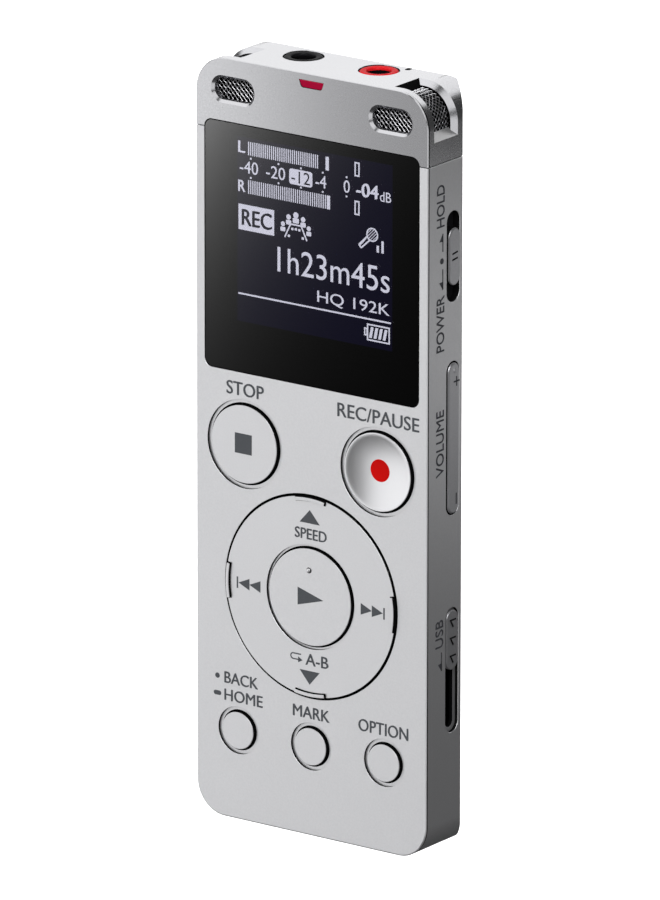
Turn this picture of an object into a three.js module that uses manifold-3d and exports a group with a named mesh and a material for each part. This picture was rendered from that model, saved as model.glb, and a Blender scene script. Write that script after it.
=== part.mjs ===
// A slim handheld voice recorder, modelled in millimetres.
// X runs across the front, Y from the front face (-Y) to the back (+Y), Z up from the bottom end.
// Depths are measured from the front face inwards, so a depth of 0 is the front face.
import * as THREE from "three";
import { mergeVertices } from "three/addons/utils/BufferGeometryUtils.js";
import Module from "manifold-3d";

// Case envelope
const WIDTH = 36.6;
const DEPTH = 10.5;
const HEIGHT = 102;
const TOP_RADIUS = 4.8;
const BOTTOM_RADIUS = 4.4;
const EDGE_CHAMFER = 0.3;
const SIDE_DEPTH = 7.7; // the sides are flat this far back, then slope in
const BACK_INSET = 3; // how far the slope brings each long back edge in
const BACK_ROUND = 0.9; // radius of the back edge at the top and bottom ends
const WALL = 1;
const FRONT_WALL = 1.2;
const SEAM_Z = 92.5; // the microphone head is a separate cap above this height
const SEAM_GAP = 0.1;
const CASE_JOINT_GAP = 0.05; // between the front and back halves
const HALF_WIDTH = WIDTH / 2;
const FRONT_Y = -DEPTH / 2;
const INNER_X = HALF_WIDTH - WALL;
const INNER_BACK = DEPTH - WALL;

// Display
const WINDOW = { halfWidth: 17, bottom: 60.5, top: 93.65, radius: 1.2, pocket: 0.85 };
const SIGHT = { halfWidth: 15.2, bottom: 62, top: 91.8 }; // opening behind the window
const OLED = { halfWidth: 13.5, bottom: 65.6, top: 91.9, front: 1.25, back: 2.75 };
const FIT = 0.1; // clearance round a piece that is set into another

// Keys on the front
const KEY_TRAVEL = 0.35; // from a key's post to the dome under it
const DOME = { front: 2.9, base: 3.15, radius: 2, top: 1.4 };
const LARGE_KEY = { hole: 5.65, cap: 5.4, flange: 6.3, proud: 0.15, post: 1.5, z: 51, x: 10.6 };
const SMALL_KEY = { hole: 2.8, cap: 2.5, flange: 3.3, proud: 0.45, post: 1, z: 12.1, x: 11.65 };
const HOLE_CHAMFER = 0.3;
const DISH = { radius: 5, depth: 0.5 };
const FLANGE = { front: 1.3, back: 1.8 };
const POST_END = DOME.front - KEY_TRAVEL;
const NAV = { z: 32.35, hole: 13.75, outer: 13.5, inner: 6.75, proud: 0.2 };
const NAV_FLANGE = { radius: 14.2, front: 1.75, back: 2.1 }; // clear of the wall at both full tilts
const NAV_RIB = { inner: 12.9, proud: 0.7, halfAngle: 10.2 };
const NAV_POST = { radius: 11, size: 0.9 };
const GIMBAL = { inner: 7.8, outer: 9.2, front: 1.85, back: 2.2 };
const PLAY = { cap: 6.45, flange: 7.05, proud: 0.25, post: 1.5, front: 1.6, back: 2 };
// Straight sides that stand for a circle on the ring, the large keys and the small ones
const RING_STEPS = 48;
const LARGE_STEPS = 32;
const SMALL_STEPS = 20;

// Circuit board and what is soldered to it
const BOARD = { front: 3.25, back: 3.95, halfWidth: 16.6, bottom: 2.2, shoulder: 93.4, top: 99.5 };
const BOARD_HEAD_HALF_WIDTH = 9.8;
const BOARD_CORNER_CUT = 3;
const MAIN_CHIP = { left: 1, right: 11, bottom: 66, top: 76, height: 0.9 };
const MEMORY_CHIP = { left: 1, right: 10, bottom: 50, top: 62, height: 0.8 };
const BATTERY = { halfWidth: 13.5, bottom: 44, top: 86, front: 5.4, back: 9.3 };
const BATTERY_PAD = { left: -4, right: 13, bottom: 46, top: 84, front: 4.95, back: 5.35 };

// Controls on the right side
const SLOT_DEPTH = 5.6; // depth of the slots' centre line
const SLOT_WIDTH = 2.8;
const KNOB_WIDTH = 2.4;
const KNOB_PROUD = 0.3;
const HOLD = { z: 79.7, slot: 12.05, knob: 7.6, plate: 16.4 };
const VOLUME = { z: 55.55, slot: 20.5, rocker: 20.1, flange: 21.6, key: 8.6 };
const USB_SLOT = { bottom: 16.1, top: 32.9, floor: 0.5, throat: 1.7 };
const USB_KNOB = { length: 8.1, top: 32.6 };

// Slide-out plug
const PLUG = { x: 7, width: 12, thickness: 4.5, front: 4.2, tip: 0.3, back: 19.8, sheet: 0.3 };
const CARRIER = { left: 0.7, right: 13.3, bottom: 20, top: 34, front: 4.05, back: 9.3 };
const PLUG_OPENING = { left: 0.8, right: 13.2, front: 4, back: 8.9 };
const CONTACT_OFFSETS = [-3.5, -1, 1, 3.5];

// Microphone head
const MIC_WINDOW = { x: 12.45, z: 97.8, width: 6.8, height: 3.6, radius: 1.7 };
const MIC_OPENING = { x: 11, z: 95.3, front: 1.4, back: 7.3, chamfer: 1 };
const GRILLE = { outer: 1.05, inner: 1.35, front: 1.3, back: 7.2, x: 8.6, z: 94.7 };
const CAPSULE = { z: 97.6, depth: 4.6, radius: 2.2, back: 12, front: 14.3 };
const BOOT = { radius: 2.7, bore: 2.25, back: 11, floor: 11.9, front: 14.4 };
const JACK = { x: 5.95, depth: 6.65, bore: 1.8, ring: 2.9, bottom: 88, body: 3.1 };
const PINHOLE = { x: 8.4, depth: 9.5, radius: 0.45 };
const LED_WINDOW = { bottom: 100.1, top: 101.05, halfTop: 1.92, halfBottom: 1.45 };

// Card slot on the left side
const CARD_COVER = { bottom: 61.5, top: 77, front: 3, back: 6.2, radius: 1.2, thickness: 0.75 };
const CARD_SLOT = { bottom: 63.5, top: 75.5, front: 4.1, back: 5.1 };

// Loudspeaker behind the back cover
const SPEAKER = { x: -8.2, z: 20, radius: 6.5, front: 6.6, back: 9.2 };
const SPEAKER_HOLE = { radius: 0.5, pitch: 1.7, rings: 2 };

// Fasteners
const CASE_SCREW = { x: 13, z: 41.5, boss: 1.3, pad: 2, padFront: 8.6, head: 1.3, shank: 0.65 };
const BOARD_SCREW = { post: 1.1, head: 1.2, shank: 0.5, tip: 1.9 };
const BOARD_SCREW_PLACES = [
  [-15, 58.5],
  [15, 58.5],
  [-15.2, 6],
  [15.2, 6],
];

const wasm = await Module();
wasm.setup();

// ---------- solids ----------

// A closed three.js geometry as a solid that can be joined and cut.
function solid(geometry) {
  const loose = geometry.index ? geometry.toNonIndexed() : geometry;
  const bare = new THREE.BufferGeometry().setAttribute("position", loose.getAttribute("position"));
  const merged = mergeVertices(bare, 1e-4);
  const index = merged.index.array;
  const triVerts = [];
  for (let i = 0; i < index.length; i += 3) {
    const [a, b, c] = [index[i], index[i + 1], index[i + 2]];
    if (a !== b && b !== c && c !== a) triVerts.push(a, b, c);
  }
  return new wasm.Manifold(
    new wasm.Mesh({
      numProp: 3,
      vertProperties: merged.attributes.position.array,
      triVerts: new Uint32Array(triVerts),
    }),
  );
}

function join(solids) {
  return solids.reduce((whole, next) => whole.add(next));
}

function cut(body, tools) {
  return tools.reduce((rest, tool) => rest.subtract(tool), body);
}

// A shape drawn on the front (x, z), extruded between two depths, with both rims chamfered if asked.
function alongDepth(shape, front, back, { steps = 4, chamfer = 0 } = {}) {
  const geometry = new THREE.ExtrudeGeometry(shape, {
    depth: back - front - 2 * chamfer,
    curveSegments: steps,
    bevelEnabled: chamfer > 0,
    bevelThickness: chamfer,
    bevelSize: chamfer,
    bevelOffset: -chamfer,
    bevelSegments: 1,
  });
  geometry.translate(0, 0, chamfer);
  geometry.rotateX(Math.PI / 2);
  geometry.translate(0, FRONT_Y + back, 0);
  return solid(geometry);
}

// A shape drawn on the side (depth, z), extruded across the width.
function alongWidth(shape, left, right, steps = 4) {
  const geometry = new THREE.ExtrudeGeometry(shape, {
    depth: right - left,
    curveSegments: steps,
    bevelEnabled: false,
  });
  const [x, y, z] = [new THREE.Vector3(1, 0, 0), new THREE.Vector3(0, 1, 0), new THREE.Vector3(0, 0, 1)];
  geometry.applyMatrix4(new THREE.Matrix4().makeBasis(y, z, x));
  geometry.translate(left, FRONT_Y, 0);
  return solid(geometry);
}

// A shape drawn on the bottom end (x, depth), extruded upwards.
function alongHeight(shape, bottom, top, steps = 4) {
  const geometry = new THREE.ExtrudeGeometry(shape, {
    depth: top - bottom,
    curveSegments: steps,
    bevelEnabled: false,
  });
  geometry.translate(0, FRONT_Y, bottom);
  return solid(geometry);
}

function box(left, right, front, back, bottom, top) {
  const geometry = new THREE.BoxGeometry(right - left, back - front, top - bottom);
  geometry.translate((left + right) / 2, FRONT_Y + (front + back) / 2, (bottom + top) / 2);
  return solid(geometry);
}

// A round bar or cone along the depth.
function drum(x, z, front, back, frontRadius, { backRadius = frontRadius, steps = 24 } = {}) {
  const geometry = new THREE.CylinderGeometry(backRadius, frontRadius, back - front, steps);
  geometry.translate(x, FRONT_Y + (front + back) / 2, z);
  return solid(geometry);
}

// A round bar that stands upright.
function column(x, depth, bottom, top, radius, steps = 24) {
  const geometry = new THREE.CylinderGeometry(radius, radius, top - bottom, steps);
  geometry.rotateX(Math.PI / 2);
  geometry.translate(x, FRONT_Y + depth, (bottom + top) / 2);
  return solid(geometry);
}

// A round bar across the width.
function crossBar(depth, z, left, right, radius, steps = 24) {
  const geometry = new THREE.CylinderGeometry(radius, radius, right - left, steps);
  geometry.rotateZ(-Math.PI / 2);
  geometry.translate((left + right) / 2, FRONT_Y + depth, z);
  return solid(geometry);
}

// A profile of [radius, depth] points turned about an axis along the depth.
function turned(x, z, profile, steps = 40) {
  const points = profile.map(([radius, depth]) => new THREE.Vector2(radius, FRONT_Y + depth));
  const geometry = new THREE.LatheGeometry(points, steps);
  geometry.translate(x, 0, z);
  return solid(geometry);
}

// ---------- outlines ----------

function polygon(points) {
  return new THREE.Shape(points.map(([u, v]) => new THREE.Vector2(u, v)));
}

// A rectangle with round corners; the two upper corners may have their own radius.
function roundedRect(left, right, bottom, top, radius, upperRadius = radius) {
  const shape = new THREE.Shape();
  shape.moveTo(left + radius, bottom);
  shape.lineTo(right - radius, bottom);
  shape.absarc(right - radius, bottom + radius, radius, -Math.PI / 2, 0);
  shape.lineTo(right, top - upperRadius);
  shape.absarc(right - upperRadius, top - upperRadius, upperRadius, 0, Math.PI / 2);
  shape.lineTo(left + upperRadius, top);
  shape.absarc(left + upperRadius, top - upperRadius, upperRadius, Math.PI / 2, Math.PI);
  shape.lineTo(left, bottom + radius);
  shape.absarc(left + radius, bottom + radius, radius, Math.PI, 1.5 * Math.PI);
  return shape;
}

// A slot with round ends that runs along Z, drawn on the side (depth, z).
function slotShape(z, length, width, depth = SLOT_DEPTH) {
  const end = length / 2 - width / 2;
  const shape = new THREE.Shape();
  shape.moveTo(depth + width / 2, z - end);
  shape.lineTo(depth + width / 2, z + end);
  shape.absarc(depth, z + end, width / 2, 0, Math.PI);
  shape.lineTo(depth - width / 2, z - end);
  shape.absarc(depth, z - end, width / 2, Math.PI, 2 * Math.PI);
  return shape;
}

// The outline of the case seen from the front, brought in all round.
function caseOutline(inset) {
  return roundedRect(
    -HALF_WIDTH + inset,
    HALF_WIDTH - inset,
    inset,
    HEIGHT - inset,
    BOTTOM_RADIUS - inset,
    TOP_RADIUS - inset,
  );
}

// ---------- case ----------

// The section of the case seen from the bottom end: flat sides, then the slopes to the back.
function caseSection(inset) {
  const drop = DEPTH - SIDE_DEPTH;
  const slope = Math.hypot(BACK_INSET, drop);
  const x = HALF_WIDTH - inset;
  const back = DEPTH - inset;
  const shift = (inset * (slope - drop)) / BACK_INSET;
  const shoulder = SIDE_DEPTH - shift;
  const backX = x - ((back - shoulder) * BACK_INSET) / drop;
  return polygon([
    [-x, 0],
    [x, 0],
    [x, shoulder],
    [backX, back],
    [-backX, back],
    [-x, shoulder],
  ]);
}

// The section of the case seen from the side: square to the front, rounded at the back.
function endSection() {
  const shape = new THREE.Shape();
  shape.moveTo(0, 0);
  shape.lineTo(DEPTH - BACK_ROUND, 0);
  shape.absarc(DEPTH - BACK_ROUND, BACK_ROUND, BACK_ROUND, -Math.PI / 2, 0);
  shape.lineTo(DEPTH, HEIGHT - BACK_ROUND);
  shape.absarc(DEPTH - BACK_ROUND, HEIGHT - BACK_ROUND, BACK_ROUND, 0, Math.PI / 2);
  shape.lineTo(0, HEIGHT);
  return shape;
}

function caseEnvelope() {
  const block = alongDepth(caseOutline(0), 0, DEPTH, { chamfer: EDGE_CHAMFER });
  const sides = alongHeight(caseSection(0), 0, HEIGHT);
  const ends = alongWidth(endSection(), -HALF_WIDTH, HALF_WIDTH, 2);
  return block.intersect(sides).intersect(ends);
}

function caseCavity() {
  const block = alongDepth(caseOutline(WALL), FRONT_WALL, INNER_BACK);
  return block.intersect(alongHeight(caseSection(WALL), 0, HEIGHT));
}

const shell = caseEnvelope().subtract(caseCavity());
const farLeft = -HALF_WIDTH - 1;
const farRight = HALF_WIDTH + 1;

// The part of the case between two depths and two heights.
function shellPart(front, back, bottom, top) {
  return shell.intersect(box(farLeft, farRight, front, back, bottom, top));
}

function windowPocket() {
  const { halfWidth, bottom, top, radius, pocket } = WINDOW;
  return alongDepth(roundedRect(-halfWidth, halfWidth, bottom, top, radius), -1, pocket);
}

// A round hole through the front wall with a chamfered rim.
function keyHole(x, z, radius, steps) {
  const rim = radius + HOLE_CHAMFER;
  return join([
    drum(x, z, -1, FRONT_WALL + 0.5, radius, { steps }),
    drum(x, z, -0.5, HOLE_CHAMFER, rim + 0.5, { backRadius: radius, steps }),
  ]);
}

const smallKeyPlaces = [-SMALL_KEY.x, 0, SMALL_KEY.x];
const caseScrewPlaces = [-CASE_SCREW.x, CASE_SCREW.x];

function plugOpening() {
  const { left, right, front, back } = PLUG_OPENING;
  return box(left, right, front, back, -1, WALL + 0.5);
}

function frontCase() {
  const bosses = caseScrewPlaces.map((x) =>
    drum(x, CASE_SCREW.z, FRONT_WALL - 0.2, CASE_SCREW.padFront - 0.1, CASE_SCREW.boss, { steps: 16 }),
  );
  const posts = BOARD_SCREW_PLACES.map(([x, z]) =>
    drum(x, z, FRONT_WALL - 0.2, BOARD.front, BOARD_SCREW.post, { steps: 12 }),
  );
  const halfShell = shellPart(-1, SIDE_DEPTH - CASE_JOINT_GAP, -1, SEAM_Z - SEAM_GAP / 2);
  const body = join([halfShell, ...bosses, ...posts]);
  const wallX = INNER_X - 0.5;
  const usbMiddle = (USB_SLOT.bottom + USB_SLOT.top) / 2;
  const usbLength = USB_SLOT.top - USB_SLOT.bottom;
  const coverMiddle = { front: CARD_COVER.front - FIT, back: CARD_COVER.back + FIT };
  const coverDepth = HALF_WIDTH - CARD_COVER.thickness - 0.05;
  return cut(body, [
    windowPocket(),
    box(-SIGHT.halfWidth, SIGHT.halfWidth, 0, FRONT_WALL + 0.5, SIGHT.bottom, SEAM_Z + 1),
    keyHole(-LARGE_KEY.x, LARGE_KEY.z, LARGE_KEY.hole, LARGE_STEPS),
    keyHole(LARGE_KEY.x, LARGE_KEY.z, LARGE_KEY.hole, LARGE_STEPS),
    drum(0, NAV.z, -1, FRONT_WALL + 0.5, NAV.hole, { steps: RING_STEPS }),
    ...smallKeyPlaces.map((x) => keyHole(x, SMALL_KEY.z, SMALL_KEY.hole, SMALL_STEPS)),
    ...caseScrewPlaces.map((x) => drum(x, CASE_SCREW.z, 4.5, 9, CASE_SCREW.shank + 0.05, { steps: 12 })),
    ...BOARD_SCREW_PLACES.map(([x, z]) =>
      drum(x, z, BOARD_SCREW.tip - 0.1, BOARD.front + 1, BOARD_SCREW.shank + 0.1, { steps: 10 }),
    ),
    alongWidth(slotShape(HOLD.z, HOLD.slot, SLOT_WIDTH), wallX, farRight),
    alongWidth(slotShape(VOLUME.z, VOLUME.slot, SLOT_WIDTH), wallX, farRight),
    alongWidth(slotShape(usbMiddle, usbLength, SLOT_WIDTH), HALF_WIDTH - USB_SLOT.floor, farRight),
    alongWidth(slotShape(usbMiddle, usbLength - 1.2, USB_SLOT.throat), wallX, farRight),
    alongWidth(
      roundedRect(
        coverMiddle.front,
        coverMiddle.back,
        CARD_COVER.bottom - FIT,
        CARD_COVER.top + FIT,
        CARD_COVER.radius + FIT,
      ),
      farLeft,
      -coverDepth,
    ),
    box(farLeft, -wallX, CARD_SLOT.front, CARD_SLOT.back, CARD_SLOT.bottom, CARD_SLOT.top),
    plugOpening(),
  ]);
}

// Round holes in rings about the loudspeaker's centre.
function speakerHoles() {
  const { radius, pitch, rings } = SPEAKER_HOLE;
  const holes = [drum(SPEAKER.x, SPEAKER.z, INNER_BACK - 0.5, DEPTH + 1, radius, { steps: 8 })];
  for (let ring = 1; ring <= rings; ring++) {
    const count = 6 * ring;
    for (let i = 0; i < count; i++) {
      const turn = (2 * Math.PI * i) / count;
      const x = SPEAKER.x + ring * pitch * Math.cos(turn);
      const z = SPEAKER.z + ring * pitch * Math.sin(turn);
      holes.push(drum(x, z, INNER_BACK - 0.5, DEPTH + 1, radius, { steps: 8 }));
    }
  }
  return holes;
}

function backCase() {
  const { z, pad, padFront, head, shank } = CASE_SCREW;
  const pads = caseScrewPlaces.map((x) => drum(x, z, padFront, INNER_BACK + 0.2, pad, { steps: 16 }));
  const body = join([shellPart(SIDE_DEPTH, DEPTH + 1, -1, SEAM_Z - SEAM_GAP / 2), ...pads]);
  return cut(body, [
    ...speakerHoles(),
    ...caseScrewPlaces.map((x) => drum(x, z, 8, DEPTH + 1, shank + 0.15, { steps: 16 })),
    ...caseScrewPlaces.map((x) => drum(x, z, 9.75, DEPTH + 1, head + 0.15, { steps: 16 })),
    plugOpening(),
  ]);
}

// A slot through the upper corner of the head with all its edges sloping in.
function cornerOpening(side) {
  const { x, z, front, back, chamfer } = MIC_OPENING;
  const [low, high] = side > 0 ? [x, farRight] : [farLeft, -x];
  const region = box(low, high, front, back, z, HEIGHT + 1);
  const plain = caseOutline(0);
  const frontLip = alongDepth(plain, front - 3, front + chamfer, { chamfer });
  const backLip = alongDepth(plain, back - chamfer, back + 3, { chamfer });
  const core = alongDepth(caseOutline(chamfer), front - 0.5, back + 0.5);
  const inner = { x: HALF_WIDTH - chamfer, z: HEIGHT - chamfer };
  const topEnd = [
    [x - 0.5, HEIGHT],
    [x, HEIGHT],
    [x + chamfer, inner.z],
    [x - 0.5, inner.z],
  ];
  const sideEnd = [
    [HALF_WIDTH, z - 0.5],
    [HALF_WIDTH, z],
    [inner.x, z + chamfer],
    [inner.x, z - 0.5],
  ];
  const ends = [topEnd, sideEnd].map((points) =>
    alongDepth(polygon(points.map(([u, v]) => [side * u, v])), front - 0.5, back + 0.5),
  );
  const hollow = alongDepth(caseOutline(chamfer - 0.01), front + chamfer, back - chamfer);
  const throughWall = hollow.intersect(
    box(
      side > 0 ? x + chamfer : farLeft,
      side > 0 ? farRight : -x - chamfer,
      front + chamfer,
      back - chamfer,
      z + chamfer,
      HEIGHT + 1,
    ),
  );
  return cut(region, [frontLip, backLip, core, ...ends]).add(throughWall);
}

function ledWindowShape(clearance) {
  const { bottom, top, halfTop, halfBottom } = LED_WINDOW;
  return polygon([
    [-halfBottom - clearance, bottom - clearance],
    [halfBottom + clearance, bottom - clearance],
    [halfTop + clearance, top + clearance],
    [-halfTop - clearance, top + clearance],
  ]);
}

const sides = [
  ["left", -1],
  ["right", 1],
];

function micWindow(side) {
  const { x, z, width, height, radius } = MIC_WINDOW;
  const middle = side * x;
  const shape = roundedRect(middle - width / 2, middle + width / 2, z - height / 2, z + height / 2, radius);
  return alongDepth(shape, -1, FRONT_WALL + 0.2);
}

function topCap() {
  const body = shellPart(-1, DEPTH + 1, SEAM_Z + SEAM_GAP / 2, HEIGHT + 1);
  return cut(body, [
    windowPocket(),
    ...sides.map(([, side]) => micWindow(side)),
    ...sides.map(([, side]) => cornerOpening(side)),
    ...sides.map(([, side]) =>
      column(side * JACK.x, JACK.depth, HEIGHT - 2, HEIGHT + 1, JACK.ring + 0.05, 32),
    ),
    alongDepth(ledWindowShape(0.05), -1, FRONT_WALL + 0.5),
    column(PINHOLE.x, PINHOLE.depth, HEIGHT - 0.8, HEIGHT + 1, PINHOLE.radius, 10),
  ]);
}

// ---------- display ----------

function displayWindow() {
  const { halfWidth, bottom, top, radius, pocket } = WINDOW;
  const shape = roundedRect(
    -halfWidth + FIT,
    halfWidth - FIT,
    bottom + FIT,
    top - FIT,
    radius - FIT,
  );
  return alongDepth(shape, 0.05, pocket - 0.05);
}

function oledPanel() {
  const { halfWidth, bottom, top, front, back } = OLED;
  return box(-halfWidth, halfWidth, front, back, bottom, top);
}

function displayHolder() {
  const { halfWidth, bottom, top, front, back } = OLED;
  const frame = box(-16.8, 16.8, front, BOARD.front - 0.05, 61.6, 92.3);
  const pocket = box(-halfWidth - FIT, halfWidth + FIT, front - 1, back + 0.05, bottom - FIT, top + FIT);
  return frame.subtract(pocket);
}

// ---------- keys ----------

// A round key: cap, retaining flange and the post that presses its dome. Its face may be dished.
function roundKey(x, z, sizes, face, steps) {
  const { cap, flange, proud, post, front = FLANGE.front, back = FLANGE.back } = sizes;
  const rim = 0.2;
  const profile = [
    ...face,
    [cap - rim, -proud],
    [cap, -proud + rim],
    [cap, front],
    [flange, front],
    [flange, back],
    [post, back],
    [post, POST_END],
    [0, POST_END],
  ];
  return turned(x, z, profile, steps);
}

const flatFace = ({ proud }) => [[0, -proud]];

function dishedFace({ proud }) {
  const steps = 4;
  const points = [];
  for (let i = 0; i <= steps; i++) {
    const share = i / steps;
    points.push([DISH.radius * share, DISH.depth * (1 - share * share) - proud]);
  }
  return points;
}

function largeKey(side, face) {
  return roundKey(side * LARGE_KEY.x, LARGE_KEY.z, LARGE_KEY, face, LARGE_STEPS);
}

function smallKey(x) {
  return roundKey(x, SMALL_KEY.z, SMALL_KEY, flatFace(SMALL_KEY), SMALL_STEPS);
}

function playKey() {
  const key = roundKey(0, NAV.z, PLAY, flatFace(PLAY), LARGE_STEPS);
  return key.add(drum(0, NAV.z + 3.6, -PLAY.proud - 0.2, 0, 0.3, { backRadius: 0.5, steps: 10 }));
}

const quarterTurns = [0, 90, 180, 270];

// The direction ring, with a raised grip bar and a post under it at each quarter.
function navRing() {
  const { inner, outer, proud } = NAV;
  const { radius, front, back } = NAV_FLANGE;
  const ring = turned(
    0,
    NAV.z,
    [
      [inner, -proud + HOLE_CHAMFER],
      [inner + HOLE_CHAMFER, -proud],
      [outer - 0.1, -proud],
      [outer, -proud + 0.1],
      [outer, front],
      [radius, front],
      [radius, back],
      [NAV_RIB.inner, back],
      [NAV_RIB.inner, 1.3],
      [inner, 1.3],
      [inner, -proud + HOLE_CHAMFER],
    ],
    RING_STEPS,
  );
  const halfAngle = THREE.MathUtils.degToRad(NAV_RIB.halfAngle);
  const ribs = quarterTurns.map((degrees) => {
    const middle = THREE.MathUtils.degToRad(degrees);
    const shape = new THREE.Shape();
    shape.absarc(0, NAV.z, outer - 0.1, middle - halfAngle, middle + halfAngle);
    shape.absarc(0, NAV.z, NAV_RIB.inner, middle + halfAngle, middle - halfAngle, true);
    return alongDepth(shape, -NAV_RIB.proud, 0, { steps: 3 });
  });
  const posts = quarterTurns.map((degrees) => {
    const turn = THREE.MathUtils.degToRad(degrees);
    const x = NAV_POST.radius * Math.cos(turn);
    const z = NAV.z + NAV_POST.radius * Math.sin(turn);
    return drum(x, z, 1, POST_END, NAV_POST.size, { steps: 12 });
  });
  return join([ring, ...ribs, ...posts]);
}

function navGimbal() {
  const { inner, outer, front, back } = GIMBAL;
  const ring = drum(0, NAV.z, front, back, outer);
  return ring.subtract(drum(0, NAV.z, front - 1, back + 1, inner));
}

// ---------- circuit board ----------

function mainBoard() {
  const { front, back, halfWidth, bottom, shoulder, top } = BOARD;
  const cornerCut = BOARD_CORNER_CUT;
  const head = BOARD_HEAD_HALF_WIDTH;
  const outline = polygon([
    [-halfWidth + cornerCut, bottom],
    [halfWidth - cornerCut, bottom],
    [halfWidth, bottom + cornerCut],
    [halfWidth, shoulder],
    [head, shoulder],
    [head, top],
    [-head, top],
    [-head, shoulder],
    [-halfWidth, shoulder],
    [-halfWidth, bottom + cornerCut],
  ]);
  return cut(alongDepth(outline, front, back), [
    ...caseScrewPlaces.map((x) => drum(x, CASE_SCREW.z, 0, 9, CASE_SCREW.boss + 0.2, { steps: 16 })),
    ...BOARD_SCREW_PLACES.map(([x, z]) => drum(x, z, 0, 9, BOARD_SCREW.shank + 0.2, { steps: 10 })),
  ]);
}

// Every place where a key presses on the board.
function domePlaces() {
  const directions = quarterTurns.map((degrees) => {
    const turn = THREE.MathUtils.degToRad(degrees);
    return [NAV_POST.radius * Math.cos(turn), NAV.z + NAV_POST.radius * Math.sin(turn)];
  });
  return [
    [-LARGE_KEY.x, LARGE_KEY.z],
    [LARGE_KEY.x, LARGE_KEY.z],
    [0, NAV.z],
    ...directions,
    ...smallKeyPlaces.map((x) => [x, SMALL_KEY.z]),
  ];
}

// The printed sheet with a snap dome under every key.
function domeSheet() {
  const sheet = box(-14.6, 14.6, DOME.base, BOARD.front, 8, 56.8);
  const domes = domePlaces().map(([x, z]) =>
    drum(x, z, DOME.front, DOME.base + 0.05, DOME.top, { backRadius: DOME.radius, steps: 8 }),
  );
  const clearances = caseScrewPlaces.map((x) =>
    drum(x, CASE_SCREW.z, 0, 9, CASE_SCREW.boss + 0.3, { steps: 16 }),
  );
  return cut(join([sheet, ...domes]), clearances);
}

// ---------- side controls ----------

function holdKnob() {
  const knob = slotShape(HOLD.z, HOLD.knob, KNOB_WIDTH);
  return alongWidth(knob, INNER_X - 0.1, HALF_WIDTH + KNOB_PROUD);
}

function holdSlidePlate() {
  const half = HOLD.plate / 2;
  const plate = box(INNER_X - 0.9, INNER_X - 0.1, 4.05, 7.15, HOLD.z - half, HOLD.z + half);
  const pin = box(INNER_X - 1.6, INNER_X - 0.8, 5.2, 6, HOLD.z - 0.5, HOLD.z + 0.5);
  return plate.add(pin);
}

function holdSwitch() {
  return box(13.8, INNER_X - 1.7, 4, 6.6, HOLD.z - 5.5, HOLD.z + 5.5);
}

function volumeRocker() {
  const outside = slotShape(VOLUME.z, VOLUME.rocker, KNOB_WIDTH);
  const bar = alongWidth(outside, INNER_X - 0.5, HALF_WIDTH + KNOB_PROUD - 0.05);
  const flange = alongWidth(slotShape(VOLUME.z, VOLUME.flange, 3.2), INNER_X - 0.8, INNER_X - 0.35);
  const posts = [-1, 1].map((end) =>
    crossBar(SLOT_DEPTH, VOLUME.z + end * VOLUME.key, 15.95, INNER_X - 0.7, 0.6, 10),
  );
  return join([bar, flange, ...posts]);
}

function volumeSwitch(end) {
  const z = VOLUME.z + end * VOLUME.key;
  return box(13.7, 15.3, 4, 6.9, z - 1.8, z + 1.8).add(crossBar(SLOT_DEPTH, z, 15, 15.65, 0.5, 10));
}

// ---------- slide-out plug ----------

const usbKnobMiddle = USB_KNOB.top - USB_KNOB.length / 2;

function usbKnob() {
  const knob = alongWidth(
    slotShape(usbKnobMiddle, USB_KNOB.length, KNOB_WIDTH),
    HALF_WIDTH - USB_SLOT.floor + 0.1,
    HALF_WIDTH + KNOB_PROUD,
  );
  const stem = box(16, HALF_WIDTH, 4.85, 6.35, usbKnobMiddle - 3, usbKnobMiddle + 3);
  return knob.add(stem);
}

function usbCarrier() {
  const { left, right, bottom, top, front, back } = CARRIER;
  const body = box(left, right, front, back, bottom, top);
  const arm = box(right - 1, 16, 4.6, 6.6, usbKnobMiddle - 3.2, usbKnobMiddle + 3.2);
  return body.add(arm);
}

function usbShell() {
  const { x, width, thickness, front, tip, back, sheet } = PLUG;
  const half = width / 2;
  const outer = box(x - half, x + half, front, front + thickness, tip, back);
  const inner = box(
    x - half + sheet,
    x + half - sheet,
    front + sheet,
    front + thickness - sheet,
    tip - 1,
    back - sheet,
  );
  const windows = [-1, 1].map((side) =>
    box(x + side * 2.6 - 1.1, x + side * 2.6 + 1.1, 0, DEPTH, tip + 4.7, tip + 6.7),
  );
  return cut(outer, [inner, ...windows]);
}

function usbTongue() {
  const { x, width, front, tip, back } = PLUG;
  return box(x - width / 2 + 0.4, x + width / 2 - 0.4, front + 0.35, front + 2.15, tip + 0.9, back - 0.35);
}

function usbContact(offset) {
  const { x, front, tip } = PLUG;
  return box(x + offset - 0.5, x + offset + 0.5, front + 2.15, front + 2.3, tip + 1.6, tip + 9);
}

// ---------- microphone head ----------

// A folded mesh sheet: a flat panel behind the front window and a band round inside the corner.
function micGrille(side) {
  const { outer, inner, front, back, x, z } = GRILLE;
  const thickness = inner - outer;
  const band = alongDepth(caseOutline(outer), front, back).subtract(
    alongDepth(caseOutline(inner), front - 1, back + 1),
  );
  const bandStart = MIC_OPENING.x + 0.2;
  const [low, high] = side > 0 ? [bandStart, farRight] : [farLeft, -bandStart];
  const [panelLow, panelHigh] = side > 0 ? [x, farRight] : [farLeft, -x];
  const corner = band.intersect(box(low, high, 0, DEPTH, z, HEIGHT));
  const panel = alongDepth(caseOutline(outer), front, front + thickness).intersect(
    box(panelLow, panelHigh, 0, DEPTH, z, 100.2),
  );
  return corner.add(panel);
}

function mirrored(side, low, high) {
  return side > 0 ? [low, high] : [-high, -low];
}

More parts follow.
